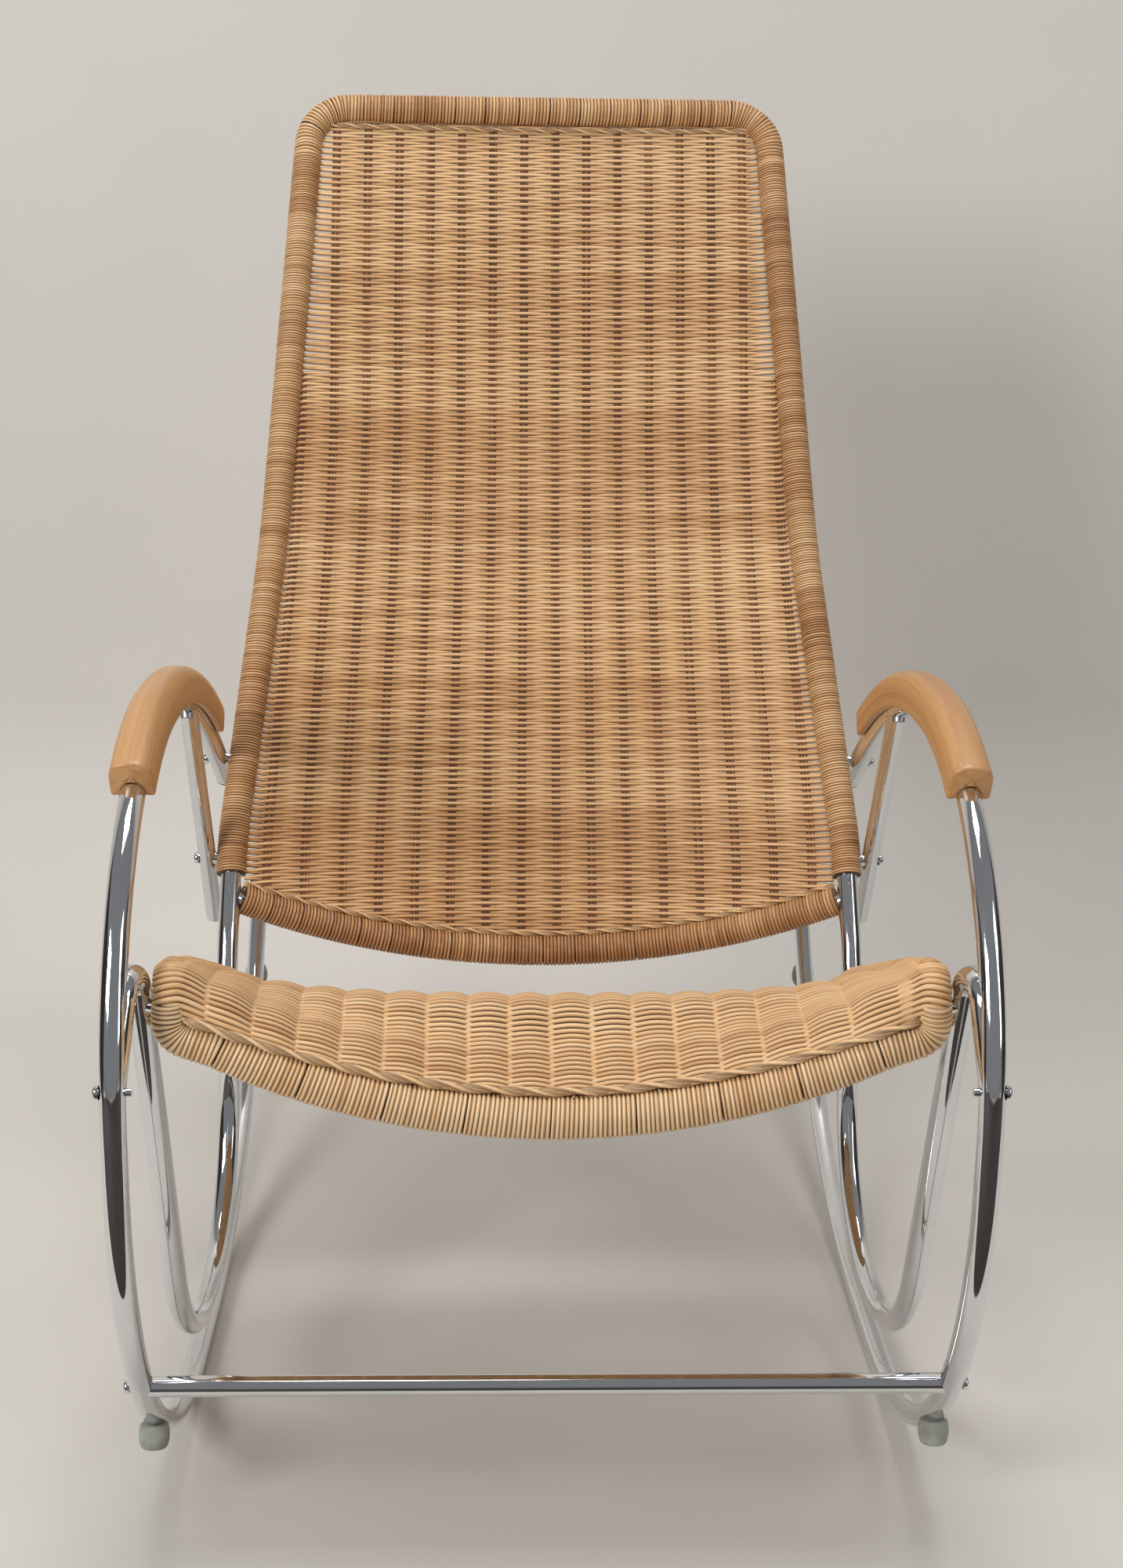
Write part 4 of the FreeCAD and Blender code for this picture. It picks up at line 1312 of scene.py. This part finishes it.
    def build(self, material: bpy.types.Material) -> None:
        """Makes the seat's weave and its four windings.

        Args:
            material: The rattan.
        """
        front, rear = self.weft()
        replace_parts(front.to_piece("seat_weave_front", material, Slot.RATTAN), "seat_weave")
        rear.to_piece("seat_weave_rear", material, Slot.RATTAN)
        self.stakes().to_piece("seat_stakes", material, Slot.RATTAN)
        self.borders().to_piece("seat_rope_edge", material, Slot.RATTAN)
        rail = self.plan.front_rail
        start = self.split - self.overlap
        low = rail.between(start, rail.length - start)
        ends = np.clip(np.minimum(low.lengths, low.length - low.lengths) / 0.06, 0.0, 1.0)
        low = Line(low.points + ends[:, None] * np.array([0.0, 0.0, self.front_raise]))
        rise = tuple(zip((0.0, 0.05, 0.14), (*self.end_radii, self.front_radius)))
        radii = (*rise, *((1.0 - place, radius) for place, radius in rise[::-1]))
        Winding("seat_front_winding", "seat_front_wrap", low, ROPE_LEAD, radii, self.winding, 0.9 * MM, SEED + 41,
                slit=62.0 * MM, tone=0.58).build(material)
        radius = ROLL_RADIUS - self.under
        radii = ((0.0, self.corner_radius - self.under), (0.3, radius), (1.0, radius))
        for number, side in enumerate(Side):
            Winding(f"seat_{side.label}_winding", f"seat_{side.label}_wrap", side.carry(self.plan.seat_side), ACROSS,
                    radii, self.winding, 1.0 * MM, SEED + 42 + number).build(material)
        rail = self.plan.seat_rear_rail
        rail = rail.between(0.03 * rail.length, 0.97 * rail.length)
        Winding("seat_rear_winding", "seat_rear_wrap", rail, np.array([0.0, -1.0, 0.0]),
                seed=SEED + 44).build(material)


# ---------------------------------------------------------------- wood and rubber


@dataclass
class ArmPad:
    """A beech pad along the arm: domed above, grooved below for the tube.

    Heights are from the tube's centre. A taper is how far an end is drawn in to middle_height, with its
    power. groove_lap is the angle by which the groove passes half a turn at each end.
    """

    plan: Plan
    side: Side
    half_width: float = 16.5 * MM
    height: float = 28.3 * MM
    shoulder: float = 12.0 * MM
    skirt: float = 3.0 * MM
    lip: float = 2.5 * MM
    groove: float = 10.4 * MM
    groove_lap: float = 0.25
    dome_power: float = 0.8
    front_share: float = 0.305
    rear_share: float = 0.92
    bevel: float = 1.6 * MM
    bevel_taper: tuple = (0.07, 2.2)
    tip: float = 15.0 * MM
    tip_taper: tuple = (0.38, 3.2)
    middle_height: float = 14.0 * MM
    hub: float = 0.62
    crease: float = 42.0

    def section(self) -> np.ndarray:
        """The section's outline, across and up: dome, left lip, groove, right lip.

        The dome is an oval of a power, x = w * |cos a| ** p, y = s + (h - s) * |sin a| ** p.

        Returns:
            Points round the outline.
        """
        angle = np.linspace(0.0, math.pi, 27)
        cosine, sine = np.cos(angle), np.abs(np.sin(angle))
        dome = np.stack([np.sign(cosine) * np.abs(cosine) ** self.dome_power * self.half_width,
                         self.shoulder + sine ** self.dome_power * (self.height - self.shoulder)], axis=-1)
        round_turn = np.linspace(0.0, 0.5 * math.pi, 5)
        middle = np.array([self.half_width - self.lip, self.lip - self.skirt])
        right = middle + self.lip * np.stack([np.sin(round_turn), -np.cos(round_turn)], axis=-1)
        left = right[::-1] * np.array([-1.0, 1.0])
        turn = np.linspace(math.pi + self.groove_lap, -self.groove_lap, 17)
        groove = self.groove * np.stack([np.cos(turn), np.sin(turn)], axis=-1)
        return np.concatenate([dome, left, groove, right])

    def build(self, material: bpy.types.Material) -> None:
        """Carries the section along the arm, with a bevelled front end and a rounded rear end.

        Args:
            material: The beech.
        """
        line = self.side.carry(self.plan.arm_line(self.front_share, self.rear_share))
        ends = np.array([0.0, 0.12, 0.4, 1.0]) * self.bevel
        lengths = np.concatenate([ends, np.linspace(6.0 * MM, line.length - self.tip - 4.0 * MM, 60),
                                  line.length - self.tip * (1.0 - np.sin(np.linspace(0.0, 0.5 * math.pi, 10)))])
        past = np.clip((lengths - (line.length - self.tip)) / self.tip, 0.0, 1.0)
        near = np.clip(1.0 - lengths / self.bevel, 0.0, 1.0)
        (drawn, power), (cut, cut_power) = self.tip_taper, self.bevel_taper
        scale = (1.0 - drawn * past ** power) * (1.0 - cut * near ** cut_power)
        section = self.section()
        middle = np.array([0.0, self.middle_height])
        shape = middle + (section - middle) * scale[:, None, None]
        _, first, second = line.frames(lengths, ACROSS)
        centre = line.at(lengths)
        rings = centre[:, None] + shape[..., :1] * first[:, None] - shape[..., 1:] * second[:, None]
        rise = shape[..., 1] / self.height + 3.0 * self.side.value
        lie = stacked(lengths[:, None], shape[..., 0] / self.half_width, rise)
        hubs = np.stack([centre[i] - second[i] * self.height * self.hub for i in (0, -1)])
        skin = swept(rings[None], lie[None], hubs)
        piece = skin.to_piece(f"{self.side.label}_beech_pad", material, Slot.BEECH, math.radians(self.crease))
        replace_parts(piece, f"{self.side.label}_armrest")


@dataclass
class StopFoot:
    """A rubber stop: a barrel turned about its axis, drawn in towards its foot, with the screw's pocket.

    The centre is the middle of the runner's arc in millimetres, as y and z, and turn the place on that
    arc. The profile is reach from the tube's centre and radius, in millimetres. Angles are degrees.
    """

    plan: Plan
    side: Side
    end: str
    centre: tuple
    radius: float
    turn: float
    tilt: float
    profile: tuple = ((7.5, 1.0), (7.5, 10.4), (8.0, 11.1), (10.0, 11.6), (14.0, 12.2), (17.5, 12.2), (21.0, 11.8),
                      (24.0, 11.0), (25.7, 10.3), (26.7, 9.3), (27.0, 8.1), (27.0, 6.4), (26.6, 5.8), (21.0, 5.8),
                      (21.0, 1.0))
    around: int = 40
    crease: float = 50.0

    def build(self, material: bpy.types.Material) -> None:
        """Turns the profile of reach and radius about the stop's axis.

        Args:
            material: The rubber.
        """
        turn, tilt = math.radians(self.turn), math.radians(self.tilt)
        middle = self.plan.point(-310.0, *self.centre)
        place = middle - np.array([0.0, math.sin(turn), math.cos(turn)]) * self.radius
        axis = -np.array([0.0, math.sin(tilt), math.cos(tilt)])
        reach, radius = np.array(self.profile).T * MM
        angle = circle(self.around)
        spoke = spokes(angle, ACROSS, np.cross(axis, ACROSS))
        rings = place + reach[:, None, None] * axis + radius[:, None, None] * spoke
        hubs = place + np.array([reach[0], reach[-1]])[:, None] * axis
        lie = stacked(reach[:, None], angle, 0.0)
        if self.side is Side.RIGHT:
            rings, hubs = mirrored(rings), mirrored(hubs)
        name = f"{self.side.label}_{self.end}_stop"
        skin = swept(rings[None], lie[None], hubs)
        piece = skin.to_piece(f"{name}_rubber", material, Slot.RUBBER, math.radians(self.crease))
        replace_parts(piece, name)


# ---------------------------------------------------------------- frame nodes


@dataclass
class Metalwork:
    """Finishes of the nodes whose own shape is shown."""

    chrome: tuple = ("left_rocker_tube", "right_rocker_tube", "back_hoop", "left_loop", "right_loop", "seat_ring",
                     "back_lower_rail", "seat_rear_rail", "left_arm_strut", "right_arm_strut", "front_crossbar",
                     "rear_crossbar", "crossbar_bolts", "strut_bolts", "arm_joint_bolts", "arch_bolts",
                     "frame_spacers", "seat_lugs")
    steel: tuple = ("hoop_spigots", "crossbar_inserts", "armrest_screws", "stop_screws")
    plastic: tuple = ("runner_end_caps", "arm_end_caps")

    def dress(self, nodes: dict) -> None:
        """Gives each node its finish.

        Args:
            nodes: The frame's objects by node name.
        """
        for names, finish in ((self.chrome, CHROME), (self.steel, STEEL), (self.plastic, PLASTIC)):
            material = finish.material()
            for name in names:
                nodes[name].data.materials.clear()
                nodes[name].data.materials.append(material)
                LOG.info("%s: %s", name, finish.name)


# ---------------------------------------------------------------- studio


@dataclass
class Studio:
    """A pale floor and wall, soft lamps, and the camera.

    Angles are degrees, focal length and image height are the photograph's pixels. Side cards are given
    by y and z, lamps by name, place, target, size and power.
    """

    camera_place: tuple = (-0.0466, -1.8553, 1.0159)
    pitch: float = 15.19
    yaw: float = 1.78
    roll: float = -0.764
    focal_pixels: float = 2700.0
    image_height: float = 2000.0
    sensor: float = 36.0
    wall_y: float = 1.05
    sweep_radius: float = 0.35
    reach: float = 6.0
    wall_top: float = 5.0
    paper: tuple = ((0.0, (206, 202, 195)), (1.0, (214, 210, 204)))
    surround: tuple = ((0.72, 0.73, 0.75, 1.0), 0.3)
    card_colour: tuple = (0.035, 0.028, 0.024, 1.0)
    side_card: tuple = ((-1.2, 0.02), (0.3, 0.02), (0.3, 1.3), (-1.2, 1.3))
    side_card_x: float = 1.9
    floor_card: tuple = ((-2.4, -3.4, 0.012), (2.4, -3.4, 0.012), (2.4, -0.62, 0.012), (-2.4, -0.62, 0.012))
    lamps: tuple = (("key_lamp", (-2.1, -2.3, 1.9), (0.0, 0.0, 0.5), (1.2, 1.2), 64.0),
                    ("fill_lamp", (2.6, -1.6, 1.6), (0.0, 0.0, 0.5), (0.9, 2.0), 17.0),
                    ("top_lamp", (0.1, -0.2, 4.4), (0.0, 0.0, 0.4), (2.0, 1.2), 72.0))

    def backdrop(self) -> None:
        """A floor that turns up into a wall through a quarter circle."""
        angle = np.linspace(0.0, 0.5 * math.pi, 16)
        bend_y = self.wall_y - self.sweep_radius + self.sweep_radius * np.sin(angle)
        bend_z = self.sweep_radius * (1.0 - np.cos(angle))
        y = np.concatenate([[-self.reach], bend_y, [self.wall_y]])
        z = np.concatenate([[0.0], bend_z, [self.wall_top]])
        x = np.array([-self.reach, self.reach])
        points = stacked(x[None], y[:, None], z[:, None]).reshape(-1, 3)
        row = np.arange(len(y) - 1) * 2
        faces = np.stack([row, row + 1, row + 3, row + 2], axis=-1)
        mesh = bpy.data.meshes.new("studio_sweep")
        mesh.from_pydata(points.tolist(), [], faces.tolist())
        mesh.polygons.foreach_set("use_smooth", np.ones(len(faces), dtype=bool))
        graph = Graph("pale_paper")
        mottle = graph.noise(graph.object_place(), 3.0, 2.0)
        colour = graph.ramp(mottle, self.paper)
        material = graph.finish(Base_Color=colour, Roughness=0.85)
        behind = graph.out(graph.node("ShaderNodeNewGeometry", {}, {}), "Backfacing")
        clear = graph.out(graph.node("ShaderNodeBsdfTransparent", {}, {}), 0)
        solid = graph.out(graph.shader, 0)
        mix = graph.node("ShaderNodeMixShader", {}, {0: behind, 1: solid, 2: clear})
        graph.put(graph.tree.nodes["Material Output"].inputs[0], graph.out(mix, 0))
        mesh.materials.append(material)
        placed("studio_sweep", mesh)

    def lamp(self, name: str, place: tuple, target: tuple, size: tuple, power: float) -> None:
        """A soft rectangular lamp that faces a point.

        Args:
            name: The lamp's name.
            place: Where it hangs.
            target: The point that it faces.
            size: Its width and height.
            power: Its power in watts.
        """
        light = bpy.data.lights.new(name, "AREA")
        light.shape = "RECTANGLE"
        light.size, light.size_y = size
        light.energy = power
        lamp = placed(name, light)
        aim = np.array(target) - np.array(place)
        lamp.location = place
        flat = math.hypot(aim[0], aim[1])
        lamp.rotation_euler = (math.atan2(flat, -aim[2]), 0.0, math.atan2(aim[1], aim[0]) - 0.5 * math.pi)

    def card(self, name: str, corners: list) -> None:
        """A dark card that only the polished metal sees.

        Args:
            name: The card's name.
            corners: Its four corners, in order.
        """
        mesh = bpy.data.meshes.new(name)
        mesh.from_pydata(corners, [], [(0, 1, 2, 3)])
        mesh.materials.append(Graph(name).finish(Base_Color=self.card_colour, Roughness=0.9))
        card = placed(name, mesh)
        card.visible_camera = card.visible_diffuse = card.visible_shadow = False

    def world(self) -> None:
        """An even grey surround."""
        world = bpy.data.worlds.new("studio_surround")
        bpy.context.scene.world = world
        world.use_nodes = True
        inputs = world.node_tree.nodes["Background"].inputs
        inputs["Color"].default_value, inputs["Strength"].default_value = self.surround

    def camera(self) -> None:
        """The camera at the photograph's height, pitch and focal length."""
        data = bpy.data.cameras.new("front_camera")
        data.sensor_fit = "VERTICAL"
        data.sensor_height = self.sensor
        data.lens = self.sensor * self.focal_pixels / self.image_height
        camera = placed("front_camera", data)
        camera.location = self.camera_place
        camera.rotation_euler = tuple(math.radians(a) for a in (90.0 - self.pitch, self.roll, -self.yaw))
        bpy.context.scene.camera = camera

    def build(self) -> None:
        """Sets up the whole studio."""
        self.camera()
        self.backdrop()
        self.world()
        for side in Side:
            x = side.value * self.side_card_x
            self.card(f"{side.label}_card", [(x, y, z) for y, z in self.side_card])
        self.card("floor_card", list(self.floor_card))
        for lamp in self.lamps:
            self.lamp(*lamp)
        bpy.context.scene.view_settings.view_transform = "Standard"


def main() -> None:
    """Builds the chair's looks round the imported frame."""
    logging.basicConfig(level=logging.INFO, format="%(message)s")
    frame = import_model()
    plan = Plan(float(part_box("left_rocker_tube")[0].y) + TUBE_RADIUS)
    Studio().build()
    Metalwork().dress(frame["nodes"])
    rattan = RattanFinish().material()
    WovenBack(plan).build(rattan)
    WovenSeat(plan).build(rattan)
    beech = BeechFinish().material()
    rubber = RUBBER.material()
    for side in Side:
        ArmPad(plan, side).build(beech)
        for end, centre, radius, turn, tilt in STOPS:
            StopFoot(plan, side, end, centre, radius, turn, tilt).build(rubber)


if __name__ == "__main__":
    main()
